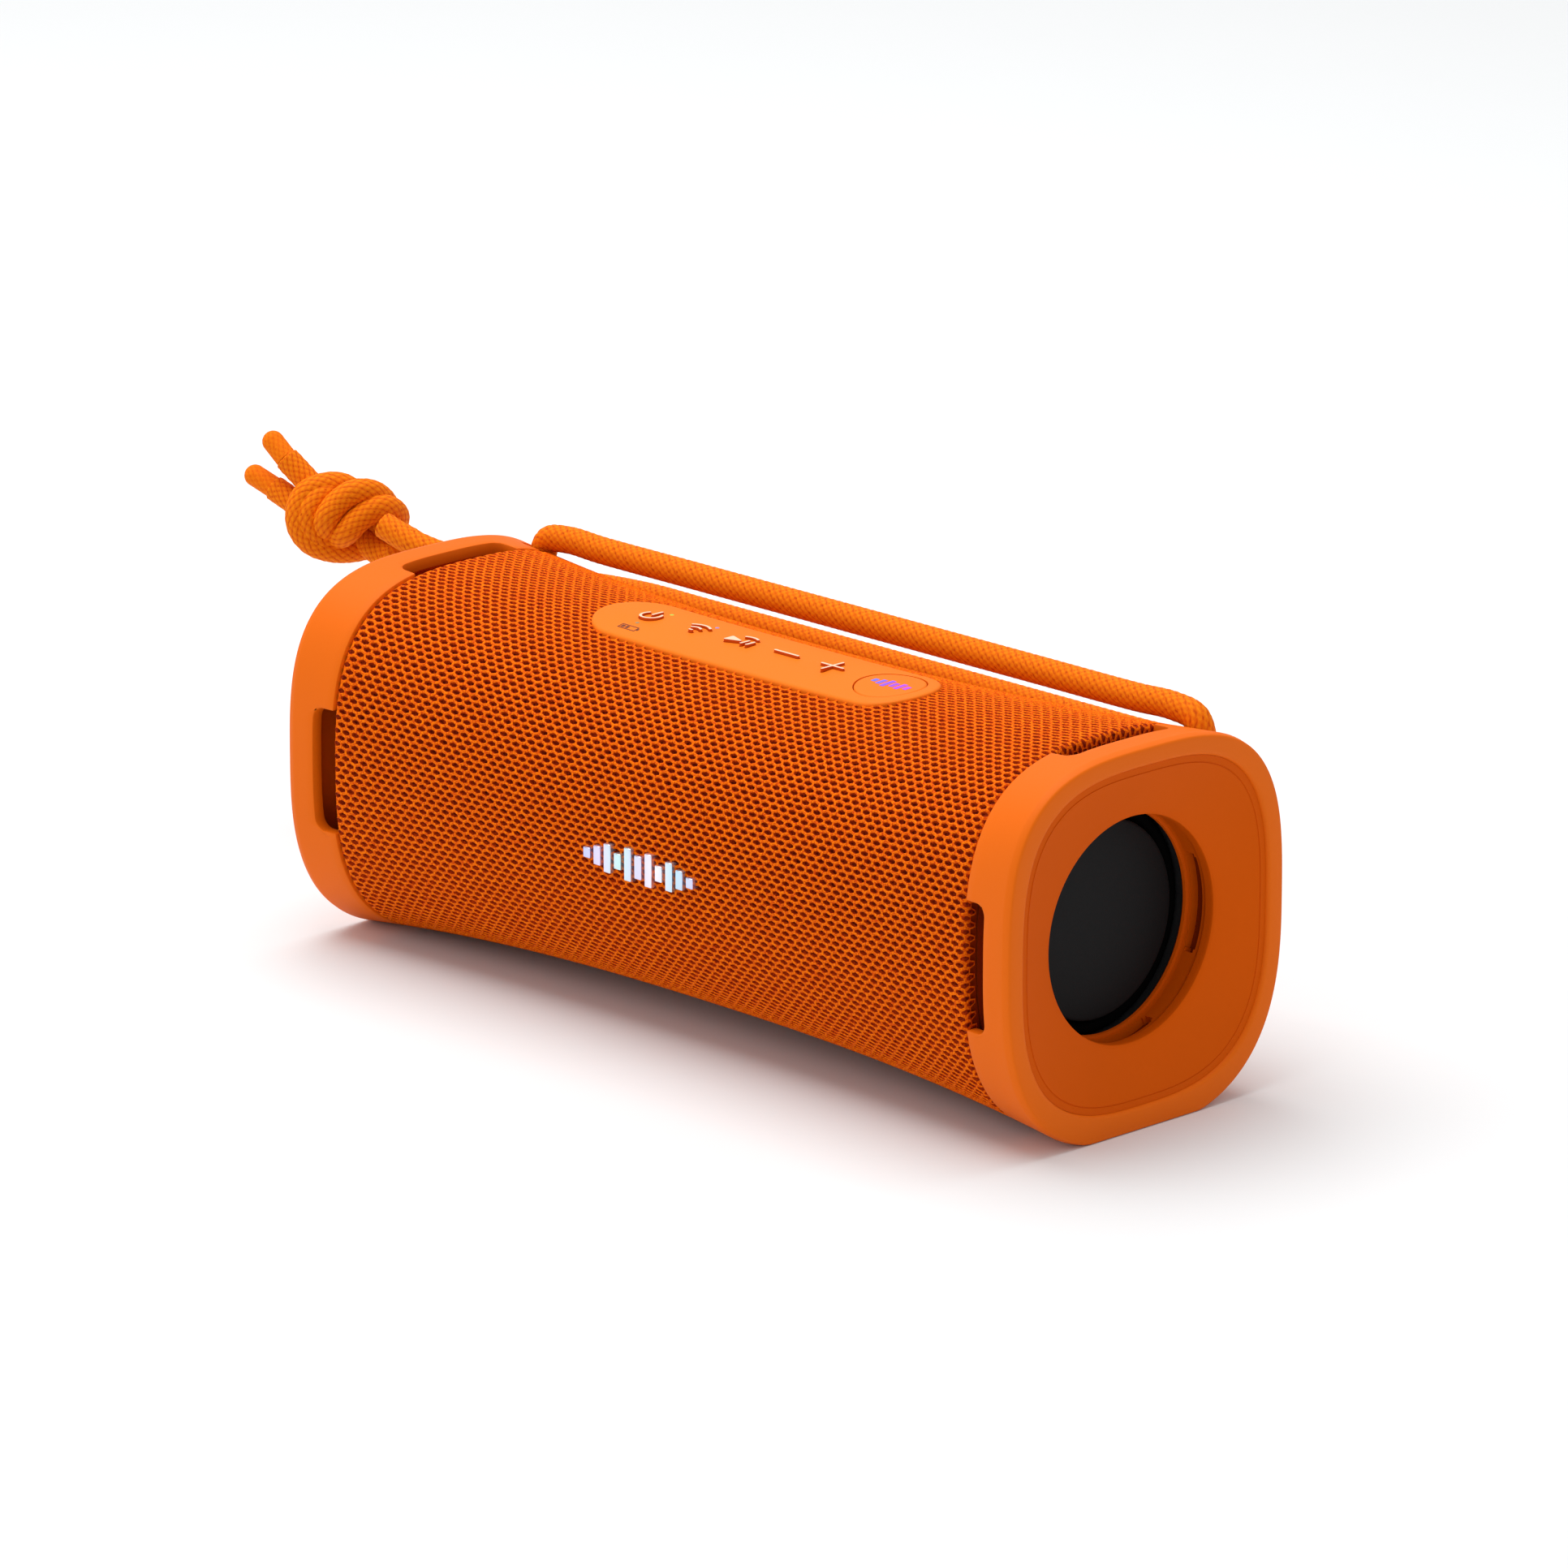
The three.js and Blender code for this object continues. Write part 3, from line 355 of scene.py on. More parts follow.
def striped(name, stops, start, end, roughness, metallic, glow=0.0):
    """A colour that runs along X between two places, for the badge and the lit mark."""
    material, nodes, links, shader = new_material(name)
    place = nodes.new("ShaderNodeTexCoord")
    split = nodes.new("ShaderNodeSeparateXYZ")
    links.new(place.outputs["Object"], split.inputs[0])
    along = nodes.new("ShaderNodeMapRange")
    along.inputs["From Min"].default_value = start * MM
    along.inputs["From Max"].default_value = end * MM
    links.new(split.outputs["X"], along.inputs["Value"])
    ramp = nodes.new("ShaderNodeValToRGB")
    for i, colour in enumerate(stops):
        position = i / (len(stops) - 1)
        if i == 0 or i == len(stops) - 1:
            element = ramp.color_ramp.elements[0 if i == 0 else len(ramp.color_ramp.elements) - 1]
            element.position = position
        else:
            element = ramp.color_ramp.elements.new(position)
        element.color = (*colour, 1)
    links.new(along.outputs["Result"], ramp.inputs["Fac"])
    links.new(ramp.outputs["Color"], shader.inputs["Base Color"])
    if glow:
        links.new(ramp.outputs["Color"], shader.inputs["Emission Color"])
        shader.inputs["Emission Strength"].default_value = glow
    shader.inputs["Roughness"].default_value = roughness
    shader.inputs["Metallic"].default_value = metallic
    return material


BUMPER = moulded("bumper_rubber_orange", (0.8, 0.14, 0.001), 0.55, sheen=0.12)
END_PLATE = moulded("end_plate_burnt_orange", (0.66, 0.095, 0.0004), 0.6, sheen=0.05)
# Painted shade: a dark burnt orange for the floors of the recessed pockets in the throat.
THROAT_PAINTED_SHADE = moulded("throat_slot_painted_shade", (0.2, 0.022, 0.001), 0.7, sheen=0.05)
PAD_RUBBER = moulded("key_mat_orange", (0.86, 0.18, 0.002), 0.55, grain=3400, sheen=0.15)
ICON_TOP = moulded("icon_peach", (0.96, 0.6, 0.42), 0.5, grain=3400, sheen=0.2)
# Painted shade: the raised icons' side walls are dark orange, as if in shadow below their tops.
ICON_SIDE_SHADE = moulded("icon_side_painted_shade", (0.6, 0.075, 0.002), 0.6, grain=3400, sheen=0.1)
PRINT_DARK = moulded("printed_mark_brown", (0.16, 0.03, 0.008), 0.6, grain=3400)
CONE_BLACK = moulded("diaphragm_black", (0.008, 0.008, 0.0084), 0.6, sheen=0.12)
ROLL_BLACK = moulded("surround_rubber_black", (0.0015, 0.0015, 0.0015), 0.8, sheen=0.02)
CABINET = moulded("cabinet_moulding", (0.3, 0.035, 0.001), 0.6, sheen=0.1)
DARK_PLASTIC = moulded("inner_black_plastic", (0.02, 0.02, 0.021), 0.55)
STEEL = moulded("driver_steel_brushed", (0.45, 0.45, 0.46), 0.35, grain=900, metallic=1.0)
DOME_METAL = moulded("tweeter_dome_metal", (0.7, 0.72, 0.78), 0.22, grain=700, metallic=1.0)
BOARD = moulded("circuit_board_green", (0.012, 0.1, 0.04), 0.45, grain=600, spread=0.25)
CELL = moulded("cell_wrap_blue", (0.02, 0.07, 0.28), 0.3, coat=0.4)
LIGHT_GREEN = moulded("power_light_green", (0.45, 0.62, 0.05), 0.3)
LIGHT_BLUE = moulded("pairing_light_blue", (0.3, 0.25, 0.62), 0.3)
LIGHT_GREY = moulded("charge_light_grey", (0.3, 0.26, 0.12), 0.3)
# Both braids carry painted shade in the gaps between strands and a painted highlight on the crests.
BRAID = braid_material("strap_braid_orange", (0.5, 0.055, 0.0005), (0.78, 0.14, 0.0008), (0.92, 0.25, 0.002))
TIP_BRAID = braid_material("strap_tip_orange", (0.7, 0.11, 0.0006), (0.84, 0.16, 0.0008), (0.9, 0.21, 0.002))
YARN = yarn_material("mesh_yarn", (0.62, 0.055, 0.0002), (0.98, 0.2, 0.0004))
# Painted shade: a dark copy of the yarn for the steep walls of each cell.
YARN_SIDE_SHADE = yarn_material("mesh_yarn_side_painted_shade", (0.2, 0.01, 0.0002), (0.5, 0.04, 0.0003))
# The cell floors: lighter streaks of the inner thread over a dark brown that is painted shade in the holes.
MESH_HOLE_THREAD_AND_SHADE = yarn_material("mesh_hole_thread_and_painted_shade", (0.09, 0.004, 0.0006), (0.36, 0.03, 0.004), scale=1500)
BADGE_PASTEL = striped(
    "badge_pastel_metal",
    [(0.55, 0.62, 0.95), (0.8, 0.72, 0.98), (0.62, 0.9, 0.92), (0.75, 0.74, 0.98), (0.95, 0.9, 0.98),
     (0.55, 0.8, 0.97), (0.7, 0.68, 0.97)], -17.5, 14.6, 0.22, 0.85)
SOUND_MARK = striped(
    "sound_mark_violet", [(0.1, 0.16, 1), (0.27, 0.06, 1), (0.5, 0.04, 0.85)], 30.5, 40.5, 0.6, 0.0, 0.12)


# ---- Finishing ----
def deselect():
    if bpy.context.object and bpy.context.object.mode != "OBJECT":
        bpy.ops.object.mode_set(mode="OBJECT")
    bpy.ops.object.select_all(action="DESELECT")


def make_active(piece):
    deselect()
    piece.select_set(True)
    bpy.context.view_layer.objects.active = piece


def choose(piece, kind, test):
    """In edit mode, selects the faces or edges that pass a test, and nothing else."""
    bpy.ops.mesh.select_mode(type=kind)
    bpy.ops.mesh.select_all(action="DESELECT")
    shape = bmesh.from_edit_mesh(piece.data)
    for element in shape.faces if kind == "FACE" else shape.edges:
        if test(element):
            element.select_set(True)
    bmesh.update_edit_mesh(piece.data)


def finish(piece, name, body, replaced, materials, smooth=30, scale=MM):
    """Places the mesh in metres at the origin, gives it its materials and body, and hides the CAD nodes that it
    replaces.
    """
    make_active(piece)
    piece.name = name
    piece.data.name = name
    piece.data.transform(piece.matrix_world)
    piece.matrix_world = Matrix.Identity(4)
    if scale != 1:
        piece.data.transform(Matrix.Scale(scale, 4))
    if smooth:
        bpy.ops.object.shade_smooth_by_angle(angle=math.radians(smooth))
    if not piece.data.materials:
        for material in materials:
            piece.data.materials.append(material)
    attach(piece, body)
    if replaced:
        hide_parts(*replaced)
    return piece


def apply_modifier(piece, kind, **settings):
    make_active(piece)
    modifier = piece.modifiers.new(kind.lower(), kind)
    for key, value in settings.items():
        setattr(modifier, key, value)
    bpy.ops.object.modifier_apply(modifier=modifier.name)


def joined_up(pieces):
    """Several objects made into one, with its place and scale applied."""
    deselect()
    for piece in pieces:
        piece.select_set(True)
    bpy.context.view_layer.objects.active = pieces[0]
    bpy.ops.object.join()
    bpy.ops.object.transform_apply(location=True, rotation=True, scale=True)
    return bpy.context.object


def cut(piece, cutter):
    apply_modifier(piece, "BOOLEAN", operation="DIFFERENCE", solver="EXACT", object=cutter)
    bpy.data.objects.remove(cutter)


# ---- Shapes ----
def reach(section, angle, inset=0.0):
    """Distance from the axis to a superellipse whose upper and lower halves differ."""
    upper = math.sin(angle) >= 0
    half = section["up" if upper else "down"] - inset
    sharp = section["sharp_up" if upper else "sharp_down"]
    across = (abs(math.cos(angle)) / (section["width"] - inset)) ** sharp
    return (across + (abs(math.sin(angle)) / half) ** sharp) ** (-1 / sharp)


def section_at(x):
    blend = (min(abs(x), RIM_X) / RIM_X) ** SWELL
    return {key: WAIST[key] + (RIM[key] - WAIST[key]) * blend for key in WAIST}


def skin_height(x, y):
    """Height of the body's top surface over a point."""
    section = section_at(x)
    sharp = section["sharp_up"]
    return AXIS_Z + section["up"] * (1 - (abs(y) / section["width"]) ** sharp) ** (1 / sharp)


def loft(name, sides, stations):
    """A tube pulled out of a circle: each station is a function that gives corner i its place."""
    deselect()
    bpy.ops.mesh.primitive_circle_add(vertices=sides, radius=1, fill_type="NOTHING", enter_editmode=True)
    bpy.ops.mesh.select_mode(type="VERT")
    bpy.ops.mesh.select_all(action="SELECT")
    piece = bpy.context.object
    for number, station in enumerate(stations):
        if number:
            bpy.ops.mesh.extrude_region_move()
        shape = bmesh.from_edit_mesh(piece.data)
        shape.verts.index_update()
        ring = [v for v in shape.verts if v.select]
        if number:
            # A new corner takes the number of the old corner that it was pulled out of.
            numbers = {v.index: numbers[e.other_vert(v).index] for v in ring for e in v.link_edges if not e.select}
        else:
            numbers = {v.index: i for i, v in enumerate(ring)}
        for v in ring:
            v.co = station(numbers[v.index])
        bmesh.update_edit_mesh(piece.data)
    bpy.ops.mesh.select_all(action="SELECT")
    bpy.ops.mesh.remove_doubles(threshold=0.002)
    bpy.ops.mesh.normals_make_consistent(inside=False)
    bpy.ops.object.mode_set(mode="OBJECT")
    piece.name = name
    return piece


def turned(name, profile, z, sides=96, side=1, closed=True):
    """A body of revolution about a line along X. Its profile is a list of (x, radius)."""
    def station(x, radius):
        return lambda i: (
            side * x, radius * math.cos(2 * math.pi * i / sides), z + radius * math.sin(2 * math.pi * i / sides))
    points = profile + [profile[0]] if closed else profile
    return loft(name, sides, [station(x, radius) for x, radius in points])


def rounded_cutter(low, high, corner, axis):
    """A block with its four edges along one axis rounded, to cut with."""
    deselect()
    centre = [(a + b) / 2 for a, b in zip(low, high)]
    bpy.ops.mesh.primitive_cube_add(size=1, location=centre, enter_editmode=True)
    block = bpy.context.object
    shape = bmesh.from_edit_mesh(block.data)
    for v in shape.verts:
        v.co = [c * (b - a) for c, a, b in zip(v.co, low, high)]
    bmesh.update_edit_mesh(block.data)
    choose(block, "EDGE", lambda edge: edge.verts[0].co[(axis + 1) % 3] == edge.verts[1].co[(axis + 1) % 3]
           and edge.verts[0].co[(axis + 2) % 3] == edge.verts[1].co[(axis + 2) % 3])
    bpy.ops.mesh.bevel(offset=corner, segments=8)
    bpy.ops.object.mode_set(mode="OBJECT")
    return block


# ---- Fabric sleeve: a knitted mesh of six-sided cells, in two panels ----
CELL_WIDTH = 2.6
ROW_HEIGHT = 1.31
ROWS = 184
COLUMNS = 71
FOLD_START = 88.9
FOLD_RADIUS = 1.2


def around_table(x):
    """The share of the way round the section, from the bottom by the front, against the angle gone through."""
    section = section_at(x)
    turns = np.linspace(0, 2 * math.pi, 721)
    radii = np.array([reach(section, -math.pi / 2 - turn) for turn in turns])
    y, z = radii * np.cos(-math.pi / 2 - turns), radii * np.sin(-math.pi / 2 - turns)
    lengths = np.concatenate([[0], np.cumsum(np.hypot(np.diff(y), np.diff(z)))])
    return lengths / lengths[-1], turns


def on_sleeve(u, v, height, tables):
    """The place on the body of a point of the flat fabric."""
    over = abs(u) - FOLD_START
    x, drop = abs(u), 0.0
    if over > 0:
        height *= max(0.15, 1 - over / FOLD_RADIUS)
        bend = min(over / FOLD_RADIUS, math.pi / 2)
        x = FOLD_START + FOLD_RADIUS * math.sin(bend)
        drop = FOLD_RADIUS * (1 - math.cos(bend)) + max(0.0, over - FOLD_RADIUS * math.pi / 2)
    x = math.copysign(x, u)
    key = round(abs(x), 2)
    if key not in tables:
        tables[key] = around_table(key)
    shares, turns = tables[key]
    angle = -math.pi / 2 - float(np.interp(v / (ROWS * ROW_HEIGHT), shares, turns))
    radius = reach(section_at(x), angle) - drop + height
    if over > 0:
        x += math.copysign(height * math.sin(min(over / FOLD_RADIUS, math.pi / 2)), u)
        radius -= height * (1 - math.cos(min(over / FOLD_RADIUS, math.pi / 2)))
    return x, radius * math.cos(angle), max(0.1, AXIS_Z + radius * math.sin(angle))


def under_cover(place):
    """True where the key mat or the port's frame lies over the fabric."""
    x, y, z = place
    on_mat = z > 60 and math.hypot(max(abs(x) - PAD_CENTRE_X, 0), y - PAD_Y) < PAD_HALF - 0.9
    on_port = y > 20 and abs(x - 58) < 11.6 and abs(z - 30) < 5.6
    return on_mat or on_port


def fabric_panel(name, first_row, last_row, replaced):
    deselect()
    bpy.ops.mesh.primitive_circle_add(vertices=6, radius=1, fill_type="NGON", enter_editmode=True)
    panel = bpy.context.object
    point, shoulder = ROW_HEIGHT * 2 / 3, ROW_HEIGHT / 3
    half = CELL_WIDTH / 2
    corners = [(0, point), (-half, shoulder), (-half, -shoulder), (0, -point), (half, -shoulder), (half, shoulder)]
    start_x = -(COLUMNS - 1) / 2 * CELL_WIDTH - half / 2
    start_y = (first_row + 0.5) * ROW_HEIGHT
    shape = bmesh.from_edit_mesh(panel.data)
    for v, (x, y) in zip(sorted(shape.verts, key=lambda v: math.atan2(v.co.x, v.co.y) % (2 * math.pi), reverse=True),
                         corners[1:] + corners[:1]):
        v.co = (start_x + x, start_y + y, 0)
    bmesh.update_edit_mesh(panel.data)
    bpy.ops.mesh.select_all(action="SELECT")
    bpy.ops.mesh.duplicate_move(TRANSFORM_OT_translate={"value": (half, ROW_HEIGHT, 0)})
    bpy.ops.object.mode_set(mode="OBJECT")
    for count, offset in ((COLUMNS, (CELL_WIDTH, 0, 0)), ((last_row - first_row) // 2, (0, 2 * ROW_HEIGHT, 0))):
        apply_modifier(panel, "ARRAY", count=count, use_relative_offset=False, use_constant_offset=True,
                       constant_offset_displace=offset)
    tables = {}
    bpy.ops.object.mode_set(mode="EDIT")
    bpy.ops.mesh.select_all(action="SELECT")
    bpy.ops.mesh.remove_doubles(threshold=0.01)
    bpy.ops.mesh.normals_make_consistent(inside=False)
    shape = bmesh.from_edit_mesh(panel.data)
    if sum(face.normal.z for face in shape.faces) < 0:
        bpy.ops.mesh.flip_normals()
    choose(panel, "FACE", lambda face: under_cover(on_sleeve(*face.calc_center_median(), tables)))
    bpy.ops.mesh.delete(type="FACE")
    bpy.ops.mesh.select_all(action="SELECT")
    # Each cell steps down twice: the steep wall takes the side colour, painted shade, and the floor takes the hole
    # colour, painted shade over the inner thread.
    for index, (thickness, depth) in enumerate(((0.3, -0.16), (0.12, -0.62)), start=1):
        bpy.ops.mesh.inset(thickness=thickness, depth=depth, use_individual=True)
        shape = bmesh.from_edit_mesh(panel.data)
        for face in shape.faces:
            if face.select:
                face.material_index = index
        bmesh.update_edit_mesh(panel.data)
    shape = bmesh.from_edit_mesh(panel.data)
    for v in shape.verts:
        v.co = on_sleeve(v.co.x, v.co.y, v.co.z, tables)
    bmesh.update_edit_mesh(panel.data)
    bpy.ops.object.mode_set(mode="OBJECT")
    for material in (YARN, YARN_SIDE_SHADE, MESH_HOLE_THREAD_AND_SHADE):
        panel.data.materials.append(material)
    finish(panel, name, "root", replaced, [], smooth=0)
    panel.data.polygons.foreach_set("use_smooth", [True] * len(panel.data.polygons))
    return panel


# ---- End rings ----
RING_SIDES = 200
SCREW_ANGLES = (135, 225, 315)
SCREW_RADIAL = 34.5


def ring_piece(side, label):
    def on_skin(x, inset):
        section = section_at(x)

        def corner(i):
            angle = 2 * math.pi * i / RING_SIDES
            radius = reach(section, angle, inset)
            return side * x, radius * math.cos(angle), max(inset * 0.25 + 0.02, AXIS_Z + radius * math.sin(angle))
        return corner

    def in_opening(x, inset):
        def corner(i):
            angle = 2 * math.pi * i / RING_SIDES
            radius = reach(OPENING, angle, inset)
            return side * x, radius * math.cos(angle), OPENING_Z + radius * math.sin(angle)
        return corner

    outer = [(90.4, 0.35), (90.5, 0.12), (90.75, 0), (92.5, 0), (95, 0), (98, 0), (100.8, 0), (101.3, 0.01),
             (101.45, 0.04), (102.6, 0.34), (102.8, 0.46), (102.93, 0.65), (102.98, 0.9), (103, 1.2)]
    mouth = [(103, -0.85), (102.9, -0.45), (102.65, -0.15), (102.3, 0), (100.5, 0.02), (98.4, 0.04)]
    inner = [(98, 2.9), (96, 2.6), (93, 2.6), (90.7, 2.6), (90.45, 2.4), (90.4, 2.1)]
    stations = [on_skin(*p) for p in outer] + [in_opening(*p) for p in mouth] + [on_skin(*p) for p in inner]
    ring = loft("ring", RING_SIDES, stations + stations[:1])
    depth = sorted((side * 86, side * 95.8))
    cut(ring, rounded_cutter((depth[0], -50, 25.15), (depth[1], -30, 51.15), 2.4, 1))
    cut(ring, rounded_cutter((depth[0], 30, 23.65), (depth[1], 50, 49.65), 2.4, 1))
    cut(ring, rounded_cutter((depth[0], -14, 68), (depth[1], 14, 90), 2.4, 2))
    depth = sorted((side * 86, side * 97.3))
    cut(ring, rounded_cutter((depth[0], 20.6, 62), (depth[1], 28.4, 90), 2, 2))
    cut(ring, rounded_cutter((depth[0], 30, 52), (depth[1], 50, 61.6), 2, 1))
    apply_modifier(ring, "BEVEL", width=0.3, segments=2, limit_method="ANGLE", angle_limit=math.radians(50),
                   use_clamp_overlap=False)
    finish(ring, label + "_bumper_ring", "root", [label + "_end_ring"], [BUMPER])
    profile = [(90.4, 1.7), (90.4, 3.6), (97.9, 3.6), (97.9, 2.65), (95, 2.65), (95, 1.7)]
    for number, degrees in enumerate(SCREW_ANGLES):
        angle = math.radians(degrees)
        boss = turned("boss", profile, AXIS_Z + SCREW_RADIAL * math.sin(angle), 32, side)
        boss.data.transform(Matrix.Translation((0, SCREW_RADIAL * math.cos(angle), 0)))
        finish(boss, "%s_ring_boss_%d" % (label, number + 1), "root", [], [BUMPER])


# ---- End panels, passive radiators ----
PANEL_SIDES = 192


def panel_piece(side, label):
    def station(x, inset, blend, radius=THROAT_RIM):
        def corner(i):
            angle = 2 * math.pi * i / PANEL_SIDES
            size = (1 - blend) * reach(OPENING, angle, inset) + blend * radius
            centre = OPENING_Z + (THROAT_Z - OPENING_Z) * blend
            return side * x, size * math.cos(angle), centre + size * math.sin(angle)
        return corner

    rows = [(101.6, 0.03, 0), (102.25, 0.05, 0), (102.2, 0.3, 0), (102.14, 1.3, 0), (102, 1.36, 0), (102, 1.5, 0),
            (102.12, 1.56, 0)]
    rows += [(102.05 - 3.25 * share, 1.7, share) for share in (0.02, 0.2, 0.4, 0.6, 0.8, 0.93)]
    rows += [(98.75, 1.5, 0.985), (98.62, 1.5, 1.0)]
    throat = [(98.3, 22.72), (97.9, 22.72), (96.6, 22.75), (96.3, 22.95), (96, 23.1), (95.6, 23.15), (95.2, 23.17),
              (94.7, 23.19), (93.1, 23.25), (92.6, 23.28), (92.2, 23.3), (91.6, 23.1), (91.4, 22.6), (90.8, 22.5),
              (90.5, 22.7), (90.5, 28.3), (92.2, 28.3), (96.4, 28.3)]
    rows += [(x, 0, 1, radius) for x, radius in throat]
    rows += [(97.4, 1.5, 0.7), (99, 1.5, 0.4), (100.6, 1.5, 0), (101, 0.3, 0)]
    stations = [station(*row) for row in rows]
    panel = loft("panel", PANEL_SIDES, stations + stations[:1])
    panel.data.materials.append(END_PLATE)
    panel.data.materials.append(THROAT_PAINTED_SHADE)
    make_active(panel)
    bpy.ops.object.mode_set(mode="EDIT")

    def in_slot(face):
        x, y, z = face.calc_center_median()
        turn = math.degrees(math.atan2(z - THROAT_Z, y)) % 90
        facing_in = face.normal.y * y + face.normal.z * (z - THROAT_Z) < 0
        reach_round = 27 - 3.4 * max(0.0, abs(abs(x) - 93.9) - 0.9)
        in_throat = 92.2 < abs(x) < 95.6 and math.hypot(y, z - THROAT_Z) < 25
        return in_throat and facing_in and min(turn, 90 - turn) < reach_round

    choose(panel, "FACE", in_slot)
    bpy.ops.mesh.inset(thickness=0.2, depth=0)
    bpy.ops.mesh.inset(thickness=0.1, depth=-1.6)
    # The pocket floors take the second colour, painted shade in the recess.
    shape = bmesh.from_edit_mesh(panel.data)
    for face in shape.faces:
        if face.select:
            face.material_index = 1
    bmesh.update_edit_mesh(panel.data)
    bpy.ops.object.mode_set(mode="OBJECT")
    finish(panel, label + "_dished_panel", "root", [label + "_end_panel"], [])


def radiator_pieces(side, label):
    disc = [(82.5, 0.0), (82.5, 19.7), (82.9, 20.1), (89.3, 20.1), (89.55, 20.02), (89.68, 19.8), (89.7, 19.4),
            (89.7, 15), (89.72, 8), (89.72, 0.0)]
    piece = turned("disc", disc, THROAT_Z, 128, side, closed=False)
    finish(piece, label + "_radiator_disc", label + "_radiator", [label + "_radiator_diaphragm"],
           [CONE_BLACK])
    roll = [(86.5, 23.75)]
    for step in range(13):
        angle = math.pi * step / 12
        roll.append((86.9 + 1.7 * math.sin(angle), 22.1 + 1.55 * math.cos(angle)))
    roll += [(86.5, 20.45), (86.2, 20.5), (86.2, 23.75)]
    piece = turned("roll", roll, THROAT_Z, 128, side)
    finish(piece, label + "_radiator_roll", "root", [label + "_radiator_surround"], [ROLL_BLACK])


# ---- Key mat, keys, printed marks and lights ----
KEY_SIDES = 96
KEY_HOLE_RADIUS = 7.42


def stadium_corner(i, radius, quarter=40):
    """Corner i of 4 x quarter round a stadium of the mat's length: two round ends and two straights."""
    section, place = divmod(i, quarter)
    share = place / quarter
    if section == 0:
        return PAD_CENTRE_X * (2 * share - 1), PAD_Y - radius
    if section == 2:
        return PAD_CENTRE_X * (1 - 2 * share), PAD_Y + radius
    angle = math.pi * (share - 0.5)
    if section == 1:
        return PAD_CENTRE_X + radius * math.cos(angle), PAD_Y + radius * math.sin(angle)
    return -PAD_CENTRE_X - radius * math.cos(angle), PAD_Y - radius * math.sin(angle)


def key_mat():
    def station(radius, lift):
        def corner(i):
            x, y = stadium_corner(i, radius)
            return x, y, skin_height(x, y) + lift
        return corner

    under = [(0, -1.3), (3, -1.3), (6, -1.3), (9, -1.3), (9.8, -1.3), (10, -1.1)]
    edge = [(10, -0.1), (9.97, 0.12), (9.85, 0.3), (9.65, 0.42), (9.4, 0.48), (9, 0.5)]
    top = [(radius, 0.5) for radius in (8.2, 7.2, 6, 4.8, 3.6, 2.4, 1.2, 0)]
    mat = loft("mat", 160, [station(*row) for row in under + edge + top])
    deselect()
    bpy.ops.mesh.primitive_cylinder_add(
        vertices=KEY_SIDES, radius=KEY_HOLE_RADIUS, depth=12, location=(PAD_CENTRE_X, PAD_Y, 76))
    cut(mat, bpy.context.object)
    for cutter in icon_cutters():
        cut(mat, cutter)
    finish(mat, "key_mat", "root", ["control_panel"], [PAD_RUBBER])


def sound_key():
    def station(radius, lift):
        def corner(i):
            angle = 2 * math.pi * i / KEY_SIDES
            x, y = PAD_CENTRE_X + radius * math.cos(angle), PAD_Y + radius * math.sin(angle)
            return x, y, skin_height(x, y) + lift
        return corner

    rows = [(0, -3), (7, -3), (7.2, -2.8), (7.2, 0.15), (7.16, 0.32), (7.05, 0.43), (6.9, 0.49), (6.6, 0.5),
            (5, 0.5), (3.4, 0.5), (1.8, 0.5), (0, 0.5)]
    cap = loft("cap", KEY_SIDES, [station(*row) for row in rows])
    finish(cap, "sound_mode_key", "sound_key", ["sound_key"], [PAD_RUBBER])


def arc(cx, cy, radius, start, end, steps):
    turns = [math.radians(start + (end - start) * i / steps) for i in range(steps + 1)]
    return [(cx + radius * math.cos(t), cy + radius * math.sin(t)) for t in turns]


ICONS = {
    "power": (-32.7, [arc(0, 0, 2.2, 145, 395, 24), [(0, 0.4), (0, 3)]]),
    "pairing": (-19.5, [arc(0, -1.7, 2, 50, 130, 8), arc(0, -1.7, 3.9, 50, 130, 14), [(-0.3, -1.7), (0.3, -1.7)]]),
    "play": (-6.2, [
        [(-3.6, -1.5), (-3.6, 0.7), (-0.5, -0.4), (-3.6, -1.5)], [(-3.3, -1), (-1.4, -0.4)],
        [(-3.3, 0.2), (-1.4, -0.4)], [(-3.3, -0.4), (-1.2, -0.4)], [(0.9, -1.5), (0.9, 0.7)],
        [(2.4, -1.5), (2.4, 0.7)],
        arc(0, -0.6, 3.5, 60, 118, 12)]),
    "volume_down": (6.2, [[(-3.2, 0), (3.2, 0)]]),
    "volume_up": (19.1, [[(-2.9, 0), (2.9, 0)], [(0, -2.9), (0, 2.9)]]),
}
ICON_Y = -2.6
ICON_TOP_Z = 76.3
ICON_HALF = 0.3


def stroke_bars(strokes, cx, half, low, high):
    """Square bars along the strokes of a symbol, with round posts at their ends, as one object."""
    deselect()
    bars = []
    for stroke in strokes:
        for (ax, ay), (bx, by) in zip(stroke, stroke[1:]):
            length = math.hypot(bx - ax, by - ay)
            bpy.ops.mesh.primitive_cube_add(
                size=1, location=(cx + (ax + bx) / 2, ICON_Y + (ay + by) / 2, (low + high) / 2),
                rotation=(0, 0, math.atan2(by - ay, bx - ax)), scale=(length, 2 * half, high - low))
            bars.append(bpy.context.object)
        for x, y in stroke:
            bpy.ops.mesh.primitive_cylinder_add(
                vertices=16, radius=half, depth=high - low, location=(cx + x, ICON_Y + y, (low + high) / 2))
            bars.append(bpy.context.object)
    return joined_up(bars)


